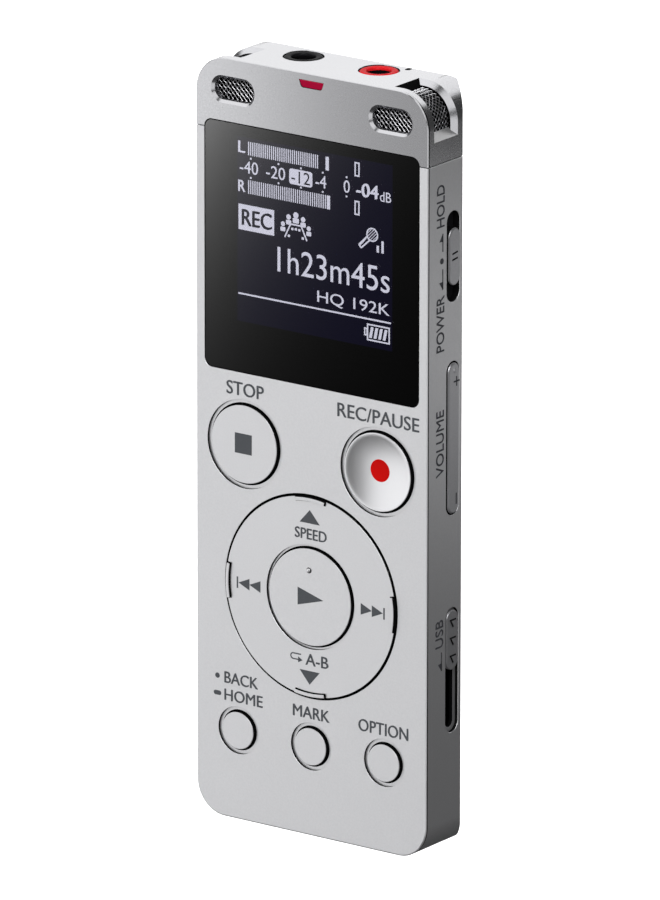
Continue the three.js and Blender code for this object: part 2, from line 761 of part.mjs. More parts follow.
function micBoot(side) {
  const [back, front] = mirrored(side, BOOT.back, BOOT.front);
  const [boreBack, boreFront] = mirrored(side, BOOT.floor, BOOT.front + 1);
  return crossBar(CAPSULE.depth, CAPSULE.z, back, front, BOOT.radius, 20).subtract(
    crossBar(CAPSULE.depth, CAPSULE.z, boreBack, boreFront, BOOT.bore, 20),
  );
}

function micCapsule(side) {
  const [back, front] = mirrored(side, CAPSULE.back, CAPSULE.front);
  return crossBar(CAPSULE.depth, CAPSULE.z, back, front, CAPSULE.radius, 20);
}

function jackSocket(side) {
  const { x, depth, bore, bottom, body } = JACK;
  const middle = side * x;
  const top = HEIGHT - WALL - 0.1;
  const block = box(middle - body, middle + body, 4, 9.3, bottom, top);
  return block.subtract(column(middle, depth, bottom + 1.2, HEIGHT, bore, 20));
}

function jackRing(side) {
  const { x, depth, bore, ring } = JACK;
  const bottom = HEIGHT - WALL;
  const collar = column(side * x, depth, bottom, HEIGHT, ring, 32);
  return collar.subtract(column(side * x, depth, bottom - 1, HEIGHT + 1, bore, 20));
}

function operationLens() {
  const guide = box(-1, 1, FRONT_WALL - 0.2, 2.2, LED_WINDOW.bottom + 0.1, HEIGHT - WALL - 0.1);
  return alongDepth(ledWindowShape(0), 0, FRONT_WALL).add(guide);
}

function operationLed() {
  return box(-0.8, 0.8, 2.6, BOARD.front, 98.6, 99.4);
}

// ---------- inside the body ----------

function batteryPack() {
  const { halfWidth, bottom, top, front, back } = BATTERY;
  return alongDepth(roundedRect(-halfWidth, halfWidth, bottom, top, 1), front, back, { steps: 2 });
}

function batteryPad() {
  const { left, right, bottom, top, front, back } = BATTERY_PAD;
  return box(left, right, front, back, bottom, top);
}

// A chip soldered to the back of the board.
function chip({ left, right, bottom, top, height }) {
  return box(left, right, BOARD.back, BOARD.back + height, bottom, top);
}

function cardCover() {
  const { bottom, top, front, back, radius, thickness } = CARD_COVER;
  const plate = alongWidth(
    roundedRect(front, back, bottom, top, radius),
    -HALF_WIDTH,
    -HALF_WIDTH + thickness,
    2,
  );
  const nick = box(farLeft, -HALF_WIDTH + 0.35, front + 0.8, back - 0.8, top - 1.1, top - 0.6);
  return plate.subtract(nick);
}

function cardSocket() {
  const body = box(-17.1, -5.5, 4, 5.25, 62.2, 76.8);
  const mouth = box(-18, -6.5, CARD_SLOT.front, CARD_SLOT.back - 0.1, CARD_SLOT.bottom, CARD_SLOT.top);
  return body.subtract(mouth);
}

function speaker() {
  const { x, z, radius, front, back } = SPEAKER;
  return turned(
    x,
    z,
    [
      [0, front],
      [radius, front],
      [radius, back],
      [radius - 1, back],
      [radius - 1.5, back - 0.5],
      [2.2, back - 0.9],
      [0, back - 0.7],
    ],
    24,
  );
}

function speakerGasket() {
  const { x, z, radius, back } = SPEAKER;
  const ring = drum(x, z, back, INNER_BACK, radius);
  return ring.subtract(drum(x, z, back - 1, DEPTH, radius - 1.1));
}

function boardScrew([x, z]) {
  const { head, shank, tip } = BOARD_SCREW;
  return drum(x, z, BOARD.back, BOARD.back + 0.6, head, { steps: 12 }).add(
    drum(x, z, tip, BOARD.back + 0.1, shank, { steps: 10 }),
  );
}

function caseScrew(x) {
  const { z, head, shank } = CASE_SCREW;
  const body = drum(x, z, 9.8, 10.35, head, { steps: 16 }).add(drum(x, z, 5, 9.9, shank, { steps: 10 }));
  const arms = [
    [0.8, 0.2],
    [0.2, 0.8],
  ];
  return cut(
    body,
    arms.map(([across, up]) => box(x - across, x + across, 10.05, 11, z - up, z + up)),
  );
}

// ---------- assembly ----------

const finishes = {
  silver: { color: 0xc6c7c9, roughness: 0.38, metalness: 0.6 },
  darkSilver: { color: 0x8f9093, roughness: 0.4, metalness: 0.6 },
  acrylic: { color: 0x0b0b0e, roughness: 0.08, metalness: 0 },
  black: { color: 0x17171a, roughness: 0.55, metalness: 0 },
  screen: { color: 0x1e1b28, roughness: 0.2, metalness: 0 },
  mesh: { color: 0x3a3a3c, roughness: 0.4, metalness: 0.8 },
  red: { color: 0xe02028, roughness: 0.35, metalness: 0 },
  ruby: { color: 0xb50f35, roughness: 0.2, metalness: 0 },
  board: { color: 0x1d5a3a, roughness: 0.5, metalness: 0 },
  steel: { color: 0xb9bbbd, roughness: 0.3, metalness: 1 },
  gold: { color: 0xd6b25e, roughness: 0.3, metalness: 1 },
  foil: { color: 0xa9adb3, roughness: 0.45, metalness: 0.5 },
  rubber: { color: 0x2a2a2c, roughness: 0.9, metalness: 0 },
  film: { color: 0xd8d3c0, roughness: 0.5, metalness: 0 },
};

const recorder = new THREE.Group();

function add(name, body, finish) {
  const made = body.getMesh();
  const geometry = new THREE.BufferGeometry();
  geometry.setAttribute("position", new THREE.BufferAttribute(made.vertProperties, 3));
  geometry.setIndex(new THREE.BufferAttribute(made.triVerts, 1));
  const mesh = new THREE.Mesh(geometry, new THREE.MeshStandardMaterial(finishes[finish]));
  mesh.name = name;
  recorder.add(mesh);
}

add("front_case", frontCase(), "silver");
add("back_case", backCase(), "silver");
add("top_cap", topCap(), "silver");

add("display_window", displayWindow(), "acrylic");
add("display_holder", displayHolder(), "black");
add("oled_panel", oledPanel(), "screen");

add("stop_button", largeKey(-1, flatFace(LARGE_KEY)), "silver");
add("rec_button", largeKey(1, dishedFace(LARGE_KEY)), "silver");
add("nav_gimbal", navGimbal(), "black");
add("nav_ring", navRing(), "silver");
add("play_button", playKey(), "silver");
["back_button", "mark_button", "option_button"].forEach((name, i) => {
  add(name, smallKey(smallKeyPlaces[i]), "silver");
});
add("dome_sheet", domeSheet(), "film");
add("main_board", mainBoard(), "board");

add("hold_knob", holdKnob(), "darkSilver");
add("hold_slide_plate", holdSlidePlate(), "black");
add("hold_switch", holdSwitch(), "steel");
add("volume_rocker", volumeRocker(), "darkSilver");
add("volume_switch_up", volumeSwitch(1), "steel");
add("volume_switch_down", volumeSwitch(-1), "steel");

add("usb_knob", usbKnob(), "darkSilver");
add("usb_carrier", usbCarrier(), "black");
add("usb_shell", usbShell(), "steel");
add("usb_tongue", usbTongue(), "black");
CONTACT_OFFSETS.forEach((offset, i) => {
  add(`usb_contact_${i + 1}`, usbContact(offset), "gold");
});

sides.forEach(([name, side]) => {
  add(`mic_grille_${name}`, micGrille(side), "mesh");
  add(`mic_boot_${name}`, micBoot(side), "rubber");
  add(`mic_capsule_${name}`, micCapsule(side), "steel");
});
add("headphone_socket", jackSocket(-1), "black");
add("headphone_ring", jackRing(-1), "black");
add("mic_socket", jackSocket(1), "black");
add("mic_ring", jackRing(1), "red");
add("operation_lens", operationLens(), "ruby");
add("operation_led", operationLed(), "film");

add("card_cover", cardCover(), "silver");
add("card_socket", cardSocket(), "steel");
add("battery_pack", batteryPack(), "foil");
add("battery_pad", batteryPad(), "rubber");
add("main_chip", chip(MAIN_CHIP), "black");
add("memory_chip", chip(MEMORY_CHIP), "black");
add("speaker", speaker(), "black");
add("speaker_gasket", speakerGasket(), "rubber");

BOARD_SCREW_PLACES.forEach((place, i) => {
  add(`board_screw_${i + 1}`, boardScrew(place), "steel");
});
caseScrewPlaces.forEach((x, i) => {
  add(`case_screw_${i + 1}`, caseScrew(x), "steel");
});

export default recorder;
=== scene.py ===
"""The finished look of a slim handheld voice recorder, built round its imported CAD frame.

Sizes in the classes are millimetres. X runs across the front, Z up from the bottom end, and a
depth is measured from the front face inwards. Finished pieces are scaled to metres.
"""

import logging
import math
from dataclasses import dataclass, field, replace
from enum import Enum, IntEnum
from functools import partial
from typing import Any, Callable, Sequence

import bmesh
import bpy
from bpy.types import Material, Mesh, Node, NodeSocket, NodeTree, Object
from mathutils import Matrix, Vector


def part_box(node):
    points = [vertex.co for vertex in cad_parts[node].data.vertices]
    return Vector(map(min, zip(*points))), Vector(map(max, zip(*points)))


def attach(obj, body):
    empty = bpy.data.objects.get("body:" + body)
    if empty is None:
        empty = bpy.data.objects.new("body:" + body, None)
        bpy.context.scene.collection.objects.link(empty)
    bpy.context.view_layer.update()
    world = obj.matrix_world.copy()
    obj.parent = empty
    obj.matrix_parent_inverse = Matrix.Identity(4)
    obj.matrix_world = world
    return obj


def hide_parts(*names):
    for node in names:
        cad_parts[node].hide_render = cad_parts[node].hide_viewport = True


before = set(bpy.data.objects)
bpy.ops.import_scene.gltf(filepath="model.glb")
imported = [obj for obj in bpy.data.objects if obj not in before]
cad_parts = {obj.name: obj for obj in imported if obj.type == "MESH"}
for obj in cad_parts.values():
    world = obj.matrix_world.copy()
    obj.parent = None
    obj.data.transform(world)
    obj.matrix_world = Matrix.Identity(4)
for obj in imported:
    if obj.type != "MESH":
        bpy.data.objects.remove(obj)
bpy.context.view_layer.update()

log = logging.getLogger("recorder")

MM = 0.001
FRONT_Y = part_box("front_case")[0].y / MM
BACK_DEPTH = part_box("back_case")[1].y / MM - FRONT_Y
HALF_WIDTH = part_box("front_case")[1].x / MM
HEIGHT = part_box("top_cap")[1].z / MM
SEAM_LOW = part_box("front_case")[1].z / MM
SEAM_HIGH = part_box("top_cap")[0].z / MM
SPLIT_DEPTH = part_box("front_case")[1].y / MM - FRONT_Y

Point = tuple[float, float]
Ring = list[Point]
Level = tuple[float, Ring]


class Plane(Enum):
    """The plane an outline is drawn on; a third number runs across it."""

    FRONT = "x, z, then depth"
    SIDE = "depth, z, then x"
    END = "x, depth, then z"

    def place(self, u: float, v: float, w: float) -> tuple[float, float, float]:
        """The point in the recorder's frame, in millimetres."""
        if self is Plane.FRONT:
            return (u, FRONT_Y + w, v)
        if self is Plane.SIDE:
            return (w, FRONT_Y + u, v)
        return (u, FRONT_Y + v, w)


class Zone(IntEnum):
    """Which of a piece's finishes a face takes."""

    MAIN = 0
    POLISHED = 1
    # Faces inside the case, and the walls of gaps, grooves, slots and holes, which are painted black as their
    # shade.
    INSIDE = 2
    # The walls of the head's openings, which take a near-white finish as painted light.
    WALL = 3


FRONT, SIDE, END = Plane
MAIN, POLISHED, INSIDE, WALL = Zone


class Hand(IntEnum):
    """Which side of the recorder, as the sign of X."""

    LEFT = -1
    RIGHT = 1


# ---------- outlines ----------


def arc(cu: float, cv: float, radius: float, start: float, end: float, steps: int = 14) -> Ring:
    """Points along an arc.

    Args:
        cu, cv: its centre.
        radius: its radius.
        start, end: its angles in degrees, anticlockwise.
        steps: how many straight pieces stand for it.

    Returns:
        The points, both ends included.
    """
    turns = [math.radians(start + (end - start) * i / steps) for i in range(steps + 1)]
    return [(cu + radius * math.cos(t), cv + radius * math.sin(t)) for t in turns]


def rounded(left: float, right: float, bottom: float, top: float, radius: float, upper: float = 0,
            steps: int = 14) -> Ring:
    """A rectangle with round corners.

    Args:
        left, right, bottom, top: its sides.
        radius: the radius of its corners.
        upper: the radius of its two upper corners, where that differs.
        steps: straight pieces for each corner.

    Returns:
        Its outline, anticlockwise.
    """
    high = upper or radius
    return [
        *arc(right - radius, bottom + radius, radius, -90, 0, steps),
        *arc(right - high, top - high, high, 0, 90, steps),
        *arc(left + high, top - high, high, 90, 180, steps),
        *arc(left + radius, bottom + radius, radius, 180, 270, steps),
    ]


def slot(cu: float, cv: float, width: float, height: float, inset: float = 0, steps: int = 20) -> Ring:
    """A slot with round ends, taller than it is wide, brought in all round by inset."""
    half_width = width / 2 - inset
    end = height / 2 - inset - half_width
    return [
        *arc(cu, cv + end, half_width, 0, 180, steps),
        *arc(cu, cv - end, half_width, 180, 360, steps),
    ]


def shrinking(left: float, right: float, bottom: float, top: float, radius: float,
              steps: int = 14) -> Callable[[float], Ring]:
    """A rectangle with round corners, as a function that brings it in all round by an inset."""
    def outline(inset: float) -> Ring:
        """The outline brought in by inset."""
        return rounded(left + inset, right - inset, bottom + inset, top - inset, radius - inset, steps=steps)
    return outline


def circle(cu: float, cv: float, radius: float, steps: int = 96) -> Ring:
    """A full circle, without its last point."""
    return arc(cu, cv, radius, 0, 360, steps)[:-1]


# ---------- solids ----------


@dataclass
class Solid:
    """A closed mesh in millimetres that can be joined and cut."""

    mesh: Mesh

    @classmethod
    def closed(cls, bm: bmesh.types.BMesh) -> "Solid":
        """Turns the faces of bm outwards and keeps it as a solid."""
        bmesh.ops.recalc_face_normals(bm, faces=bm.faces)
        mesh = bpy.data.meshes.new("solid")
        bm.to_mesh(mesh)
        bm.free()
        return cls(with_zones(mesh))

    def _combined(self, others: Sequence["Solid"], operation: str) -> "Solid":
        """The result of one boolean with each of the others in turn."""
        base = link("base", self.mesh)
        tools = [link("tool", other.mesh) for other in others]
        for tool in tools:
            step = base.modifiers.new("step", "BOOLEAN")
            step.operation = operation
            step.solver = "MANIFOLD"
            step.object = tool
        made = evaluated_mesh(base)
        for item in [base, *tools]:
            bpy.data.objects.remove(item)
        return Solid(made)

    def cut(self, *others: "Solid") -> "Solid":
        """What is left after taking the others away."""
        return self._combined(others, "DIFFERENCE")

    def join(self, *others: "Solid") -> "Solid":
        """This solid and the others as one body."""
        return self._combined(others, "UNION")

    def meet(self, *others: "Solid") -> "Solid":
        """What this solid has in common with the others."""
        return self._combined(others, "INTERSECT")

    def painted(self, zone: Zone) -> "Solid":
        """The same solid with all its faces in one zone."""
        mesh = self.mesh.copy()
        mesh.polygons.foreach_set("material_index", [int(zone)] * len(mesh.polygons))
        return Solid(mesh)


def with_zones(mesh: Mesh) -> Mesh:
    """Gives a mesh one empty material slot for each zone."""
    while len(mesh.materials):
        mesh.materials.pop()
    for _ in Zone:
        mesh.materials.append(None)
    return mesh


def link(name: str, data: Any) -> Object:
    """A new object with that data, in the scene."""
    made = bpy.data.objects.new(name, data)
    bpy.context.scene.collection.objects.link(made)
    return made


def evaluated_mesh(source: Object) -> Mesh:
    """The mesh that an object has once its modifiers have run."""
    graph = bpy.context.evaluated_depsgraph_get()
    return bpy.data.meshes.new_from_object(source.evaluated_get(graph))


def stack(plane: Plane, levels: Sequence[Level], zones: Sequence[int] | None = None,
          ends: Zone = MAIN) -> Solid:
    """A closed solid lofted through outlines with the same number of points.

    Args:
        plane: the plane that the outlines are drawn on.
        levels: each outline's distance across that plane, and the outline.
        zones: the zone of each band between two outlines.
        ends: the zone of the two ends.

    Returns:
        The solid.
    """
    bm = bmesh.new()
    loops = [[bm.verts.new(plane.place(u, v, w)) for u, v in ring] for w, ring in levels]
    for band, (low, high) in enumerate(zip(loops, loops[1:])):
        for i in range(len(low)):
            j = (i + 1) % len(low)
            face = bm.faces.new((low[i], low[j], high[j], high[i]))
            face.material_index = int(zones[band]) if zones else int(MAIN)
    for loop in (loops[0], loops[-1]):
        bm.faces.new(loop).material_index = int(ends)
    return Solid.closed(bm)


def stepped(plane: Plane, outline: Callable[[float], Ring], steps: Sequence[Point],
            zones: Sequence[int] | None = None, ends: Zone = MAIN) -> Solid:
    """A solid lofted through one outline at several insets.

    Args:
        plane: the plane that the outline is drawn on.
        outline: gives the outline brought in by an inset.
        steps: each level's distance across the plane, and its inset.
        zones: the zone of each band between two levels.
        ends: the zone of the two ends.

    Returns:
        The solid.
    """
    return stack(plane, [(w, outline(inset)) for w, inset in steps], zones, ends)


def prism(plane: Plane, ring: Ring, low: float, high: float, zone: Zone = MAIN) -> Solid:
    """A straight solid of one outline."""
    return stack(plane, [(low, ring), (high, ring)], [zone], zone)


def block(left: float, right: float, front: float, back: float, bottom: float, top: float,
          zone: Zone = MAIN) -> Solid:
    """A rectangular solid between two widths, two depths and two heights."""
    ring = [(left, bottom), (right, bottom), (right, top), (left, top)]
    return prism(FRONT, ring, front, back, zone)


def softened(left: float, right: float, front: float, back: float, bottom: float, top: float,
             edge: float = 0.12) -> Solid:
    """A rectangular solid with rounded corners and bevelled rims, as moulded or pressed pieces have."""
    outline = rounded(left, right, bottom, top, edge * 2, steps=4)
    inner = rounded(left + edge, right - edge, bottom + edge, top - edge, edge, steps=4)
    return stack(FRONT, [(front, inner), (front + edge, outline), (back - edge, outline), (back, inner)])


def turned(plane: Plane, centre: Point, profile: Sequence[Point], steps: int = 96,
           zones: Sequence[int] | None = None, ring: bool = False) -> Solid:
    """A profile turned about an axis across the plane.

    Args:
        plane: the plane that the axis stands on.
        centre: where the axis crosses it.
        profile: (radius, distance across the plane) points. It ends on the axis unless ring is true.
        steps: straight pieces for one turn.
        zones: the zone of each stretch of the profile.
        ring: whether the profile closes on itself and leaves a hole.

    Returns:
        The solid.
    """
    bm = bmesh.new()
    loops = []
    for radius, w in profile:
        if radius < 1e-6:
            loops.append([bm.verts.new(plane.place(*centre, w))])
        else:
            loops.append([bm.verts.new(plane.place(u, v, w)) for u, v in circle(*centre, radius, steps)])
    pairs = list(zip(loops, loops[1:] + loops[:1] if ring else loops[1:]))
    for band, (low, high) in enumerate(pairs):
        zone = int(zones[band]) if zones else int(MAIN)
        for i in range(steps):
            j = (i + 1) % steps
            if len(low) == 1:
                corners = (low[0], high[j], high[i])
            elif len(high) == 1:
                corners = (low[i], low[j], high[0])
            else:
                corners = (low[i], low[j], high[j], high[i])
            bm.faces.new(corners).material_index = zone
    return Solid.closed(bm)


def drum(x: float, z: float, front: float, back: float, radius: float, back_radius: float | None = None,
         steps: int = 48, zone: Zone = MAIN) -> Solid:
    """A round bar or cone along the depth."""
    end = radius if back_radius is None else back_radius
    levels = [(front, circle(x, z, radius, steps)), (back, circle(x, z, end, steps))]
    return stack(FRONT, levels, [zone], zone)


def rim(radius: float, height: float, round_over: float, steps: int = 5) -> list[Point]:
    """The profile points of a rounded front rim, from the face outwards and back."""
    return [
        (radius - round_over + round_over * math.sin(t), height + round_over - round_over * math.cos(t))
        for t in (math.radians(90 * i / steps) for i in range(steps + 1))
    ]


# ---------- nodes ----------


def add_node(tree: NodeTree, kind: str, inputs: dict | None = None, **settings: Any) -> Node:
    """Adds a node with its settings and links.

    Args:
        tree: the node tree.
        kind: the node's type.
        inputs: for each input, by name or place, a socket to link or a value.
        settings: the node's own properties.

    Returns:
        The node.
    """
    node = tree.nodes.new(kind)
    for key, value in settings.items():
        setattr(node, key, value)
    for key, value in (inputs or {}).items():
        if isinstance(value, NodeSocket):
            tree.links.new(value, node.inputs[key])
        else:
            node.inputs[key].default_value = value
    return node


def linear(colour: str) -> tuple[float, float, float, float]:
    """An sRGB hex colour as linear red, green, blue and alpha."""
    parts = [int(colour[i:i + 2], 16) / 255 for i in (0, 2, 4)]
    return (*[c / 12.92 if c <= 0.04045 else ((c + 0.055) / 1.055) ** 2.4 for c in parts], 1.0)


def empty_material(name: str) -> Material:
    """A material with no nodes yet."""
    made = bpy.data.materials.new(name)
    made.use_nodes = True
    made.node_tree.nodes.clear()
    return made


@dataclass(frozen=True)
class Finish:
    """A surface finish: a base colour, a fine grain and a broad, faint clouding.

    The grain moves the colour towards shade, moves the roughness and raises the surface.
    """

    name: str
    colour: str
    shade: str
    roughness: float = 0.45
    metallic: float = 0.0
    ior: float = 1.5
    grain_mm: float = 0.25
    relief_mm: float = 0.004
    grain_share: float = 0.5
    cloud_mm: float = 14.0
    cloud_share: float = 0.15
    roughness_spread: float = 0.06
    coat: float = 0.0
    coat_roughness: float = 0.1
    sheen: float = 0.0
    specular: float = 0.5
    stretch: tuple[float, float, float] = (1.0, 1.0, 1.0)

    def build(self) -> Material:
        """The finish as a material."""
        made = empty_material(self.name)
        tree = made.node_tree
        place = add_node(tree, "ShaderNodeTexCoord").outputs["Object"]
        along = add_node(tree, "ShaderNodeMapping", {"Vector": place, "Scale": self.stretch}).outputs[0]
        grain = add_node(tree, "ShaderNodeTexNoise",
                         {"Vector": along, "Scale": 1 / (self.grain_mm * MM), "Detail": 2.0}).outputs[0]
        cloud = add_node(tree, "ShaderNodeTexNoise",
                         {"Vector": place, "Scale": 1 / (self.cloud_mm * MM), "Detail": 3.0}).outputs[0]
        share = add_node(tree, "ShaderNodeMath", {0: grain, 1: self.grain_share}, operation="MULTIPLY").outputs[0]
        share = add_node(tree, "ShaderNodeMath", {0: cloud, 1: self.cloud_share, 2: share},
                         operation="MULTIPLY_ADD").outputs[0]
        colour = add_node(tree, "ShaderNodeMix", {0: share, 6: linear(self.colour), 7: linear(self.shade)},
                          data_type="RGBA").outputs[2]
        low = max(0.0, self.roughness - self.roughness_spread)
        high = self.roughness + self.roughness_spread
        rough = add_node(tree, "ShaderNodeMapRange", {"Value": grain, "To Min": low, "To Max": high}).outputs[0]
        shader = add_node(tree, "ShaderNodeBsdfPrincipled", {
            "Base Color": colour, "Roughness": rough, "Metallic": self.metallic,
            "IOR": self.ior, "Coat Weight": self.coat, "Coat Roughness": self.coat_roughness,
            "Sheen Weight": self.sheen, "Specular IOR Level": self.specular,
        })
        if self.relief_mm:
            bump = add_node(tree, "ShaderNodeBump",
                            {"Height": grain, "Distance": self.relief_mm * MM, "Strength": 1.0}).outputs[0]
            tree.links.new(bump, shader.inputs["Normal"])
        self.dress(tree, shader, place)
        add_node(tree, "ShaderNodeOutputMaterial", {"Surface": shader.outputs[0]})
        return made

    def dress(self, tree: NodeTree, shader: Node, place: NodeSocket) -> None:
        """Adds what one kind of finish has beyond the grain."""


@dataclass(frozen=True)
class ClearFinish(Finish):
    """A see-through moulding or glass."""

    transmission: float = 1.0

    def dress(self, tree: NodeTree, shader: Node, place: NodeSocket) -> None:
        """Lets light through."""
        shader.inputs["Transmission Weight"].default_value = self.transmission


@dataclass(frozen=True)
class GlowFinish(Finish):
    """A surface that gives its own light."""

    glow: str = "FFFFFF"
    strength: float = 1.0
    dot_mm: float = 0.2

    def dress(self, tree: NodeTree, shader: Node, place: NodeSocket) -> None:
        """Adds an even glow with the faint grid of the display's dots in it."""
        grid = add_node(tree, "ShaderNodeTexChecker",
                        {"Vector": place, "Scale": 1 / (self.dot_mm * MM), "Color1": (1, 1, 1, 1),
                         "Color2": (0.9, 0.9, 0.9, 1)}).outputs[0]
        tint = add_node(tree, "ShaderNodeMix", {0: 1.0, 6: linear(self.glow), 7: grid},
                        data_type="RGBA", blend_type="MULTIPLY").outputs[2]
        tree.links.new(tint, shader.inputs["Emission Color"])
        shader.inputs["Emission Strength"].default_value = self.strength


@dataclass(frozen=True)
class BoardFinish(Finish):
    """A solder-masked board with copper tracks just visible under the mask."""

    track: str = "3B8A5C"
    track_pitch_mm: float = 0.9
    track_share: float = 0.12

    def dress(self, tree: NodeTree, shader: Node, place: NodeSocket) -> None:
        """Draws the tracks."""
        cells = add_node(tree, "ShaderNodeTexVoronoi",
                         {"Vector": place, "Scale": 1 / (self.track_pitch_mm * MM)},
                         feature="DISTANCE_TO_EDGE").outputs[0]
        line = add_node(tree, "ShaderNodeMath", {0: cells, 1: self.track_share}, operation="LESS_THAN").outputs[0]
        tint = add_node(tree, "ShaderNodeMix", {0: line, 6: linear(self.colour), 7: linear(self.track)},
                        data_type="RGBA").outputs[2]
        tree.links.new(tint, shader.inputs["Base Color"])


# Bead-blasted anodised aluminium gives an even silver with a soft, slightly sparkling grain.
BLASTED_ALUMINIUM = Finish("anodised_aluminium_bead_blasted", "DADADD", "BDBEC1", roughness=0.25,
                           metallic=1.0, grain_mm=0.24, relief_mm=0.001, grain_share=0.5)
# Metallic lacquer on a moulded case is a little flatter and milkier than the bare metal.
SILVER_LACQUER = Finish("silver_lacquer_on_moulded_abs", "DCDCDE", "C4C5C8", roughness=0.44,
                        metallic=0.9, grain_mm=0.26, relief_mm=0.0025, grain_share=0.4, coat=0.05)
# Keys are lacquered like the case, one tone darker, with a finer grain.
KEY_LACQUER = Finish("silver_lacquer_on_moulded_keys", "D6D6D8", "BEBFC2", roughness=0.40,
                     metallic=0.92, grain_mm=0.2, relief_mm=0.002, grain_share=0.35)
# The hollowed record key is buffed smoother, so that its hollow shades from side to side.
DISH_LACQUER = replace(KEY_LACQUER, name="silver_lacquer_on_hollowed_key", roughness=0.33,
                       roughness_spread=0.01, relief_mm=0.0003, grain_share=0.1)
# Diamond-cut bevels are bright, almost a mirror, with faint turning marks.
CUT_ALUMINIUM = Finish("diamond_cut_aluminium_bevel", "D6D6D9", "C4C5C9", roughness=0.24,
                       metallic=1.0, grain_mm=0.12, relief_mm=0.001, roughness_spread=0.04)
# The machined walls of the openings are satin aluminium painted near white, as painted light on them, and pick up
# light from every side.
CUT_WALL_PAINTED_LIGHT = Finish("machined_aluminium_wall_painted_light", "F4F4F5", "E6E6E8", roughness=0.3, metallic=0.4,
                  grain_mm=0.15, relief_mm=0.001)
# Black for the inside of the case, and painted shade: the walls of gaps, grooves, slots and holes take it as their
# shade.
BLACK_INSIDE_AND_PAINTED_SHADE = Finish("black_abs_inside_and_painted_shade", "070708", "030304", roughness=0.8, specular=0.08, grain_mm=0.3)
# Side controls are moulded and lacquered in a darker metal tone.
KNOB_LACQUER = Finish("grey_lacquer_on_moulded_knobs", "C6C6C9", "A4A5A9", roughness=0.42, metallic=0.9,
                      grain_mm=0.22, relief_mm=0.003)
# Smoked acrylic is a deep gloss black that lets the lit display through.
SMOKED_ACRYLIC = ClearFinish("smoked_acrylic_polished", "38383A", "363638", roughness=0.0, ior=1.49,
                             relief_mm=0.0, roughness_spread=0.0, cloud_share=0.0, grain_share=0.1)
# The black print behind the window hides everything but the display.
WINDOW_PRINT = Finish("black_screen_print_behind_window", "050506", "030303", roughness=0.5, ior=1.02,
                      grain_mm=0.4, relief_mm=0.0)
# The display's own glass is plain black round its picture.
DISPLAY_GLASS = Finish("display_glass_black", "050506", "030304", roughness=0.2, ior=1.05, relief_mm=0.0)
# A switched-on display's background is a very dark blue, not quite black, seen through the smoked window.
DISPLAY_GROUND = GlowFinish("oled_display_ground_dark", "0A0A12", "06060C", roughness=0.25, ior=1.05,
                            glow="18143A", strength=6.0, relief_mm=0.0)
# Lit dots are strong enough to read as bluish white through the smoked window.
DISPLAY_LIT = GlowFinish("oled_display_dots_lit", "101014", "0C0C10", roughness=0.4, ior=1.05, glow="EFEFFA",
                         strength=19.0, relief_mm=0.0)
# Screen-printed ink lies flat and matt on the lacquer.
GREY_INK = Finish("grey_screen_print_ink", "4A4D52", "3F4247", roughness=0.6, grain_mm=0.18)
# The side's ink is a darker copy of the grey ink, as painted shade, because the side is in shade.
SHADED_SIDE_INK = Finish("screen_print_ink_painted_shade", "3A3B40", "303136", roughness=0.6, grain_mm=0.18)
# The red dot's ink is a little glossier, so that it stays a full red in its hollow.
RED_INK = Finish("red_screen_print_ink", "F01512", "D8100E", roughness=0.45, specular=0.15, grain_mm=0.18)
# Woven stainless wire shines on each crown of the weave.
WOVEN_WIRE = Finish("stainless_wire_woven", "D6D6D9", "B4B4B8", roughness=0.34, metallic=1.0, grain_mm=0.1,
                    relief_mm=0.001)
# The black dust cloth behind the weave swallows the light; it is made darker than cloth and without sheen as
# painted shade in the mesh's holes.
DUST_CLOTH_AND_SHADE = Finish("black_dust_cloth_and_painted_shade", "040404", "020202", roughness=1.0, grain_mm=0.15,
                    relief_mm=0.02, specular=0.0)
# Moulded nylon has a close, slightly waxy gloss; the black collar shows it as a thin light ring.
BLACK_NYLON = Finish("black_nylon_moulded", "1B1B1D", "121214", roughness=0.3, specular=0.1, grain_mm=0.35,
                     relief_mm=0.001)
# The red collar is the same nylon, dyed through, so that its round edge stays red where it is lit.
RED_NYLON = Finish("red_nylon_moulded", "F0242B", "DA1B22", roughness=0.26, specular=0.1, grain_mm=0.35,
                   relief_mm=0.001)
# The lens is moulded in deep red polycarbonate with a smooth gloss.
RUBY_LENS = Finish("ruby_polycarbonate_moulded", "C61342", "AC0E36", roughness=0.14, grain_mm=0.4,
                   relief_mm=0.0, specular=0.3)
# Pressed steel with nickel plating is a warm, bright grey with fine rolling lines along it.
NICKEL_STEEL = Finish("nickel_plated_steel_pressed", "D2D0CA", "B4B2AC", roughness=0.22, metallic=1.0,
                      grain_mm=0.15, relief_mm=0.001, stretch=(1.0, 1.0, 0.15))
# Gold plating is smooth and yellow, and shines in narrow streaks.
GOLD_PLATE = Finish("gold_plated_contact", "E2B95A", "C99A3C", roughness=0.25, metallic=1.0, grain_mm=0.1,
                    relief_mm=0.0005)
# Solder mask is a glossy dark green, with the copper tracks a lighter green under it.
SOLDER_MASK = BoardFinish("green_solder_mask_board", "154A30", "103C27", roughness=0.35, coat=0.3)
# The battery's foil is dull silver with a small embossed crinkle.
FOIL_POUCH = Finish("aluminium_foil_pouch_embossed", "B9BCC2", "9EA1A8", roughness=0.38, metallic=0.8,
                    grain_mm=0.5, relief_mm=0.02)
# Moulded silicone is a matt, dusty black.
SILICONE = Finish("black_silicone_rubber_moulded", "232325", "1A1A1C", roughness=0.85, grain_mm=0.3, sheen=0.1)
# Polyester film is a milky straw colour with a clear gloss over it.
POLYESTER_FILM = Finish("polyester_dome_film", "D2CDBB", "BDB8A6", roughness=0.35, grain_mm=0.5, coat=0.2)
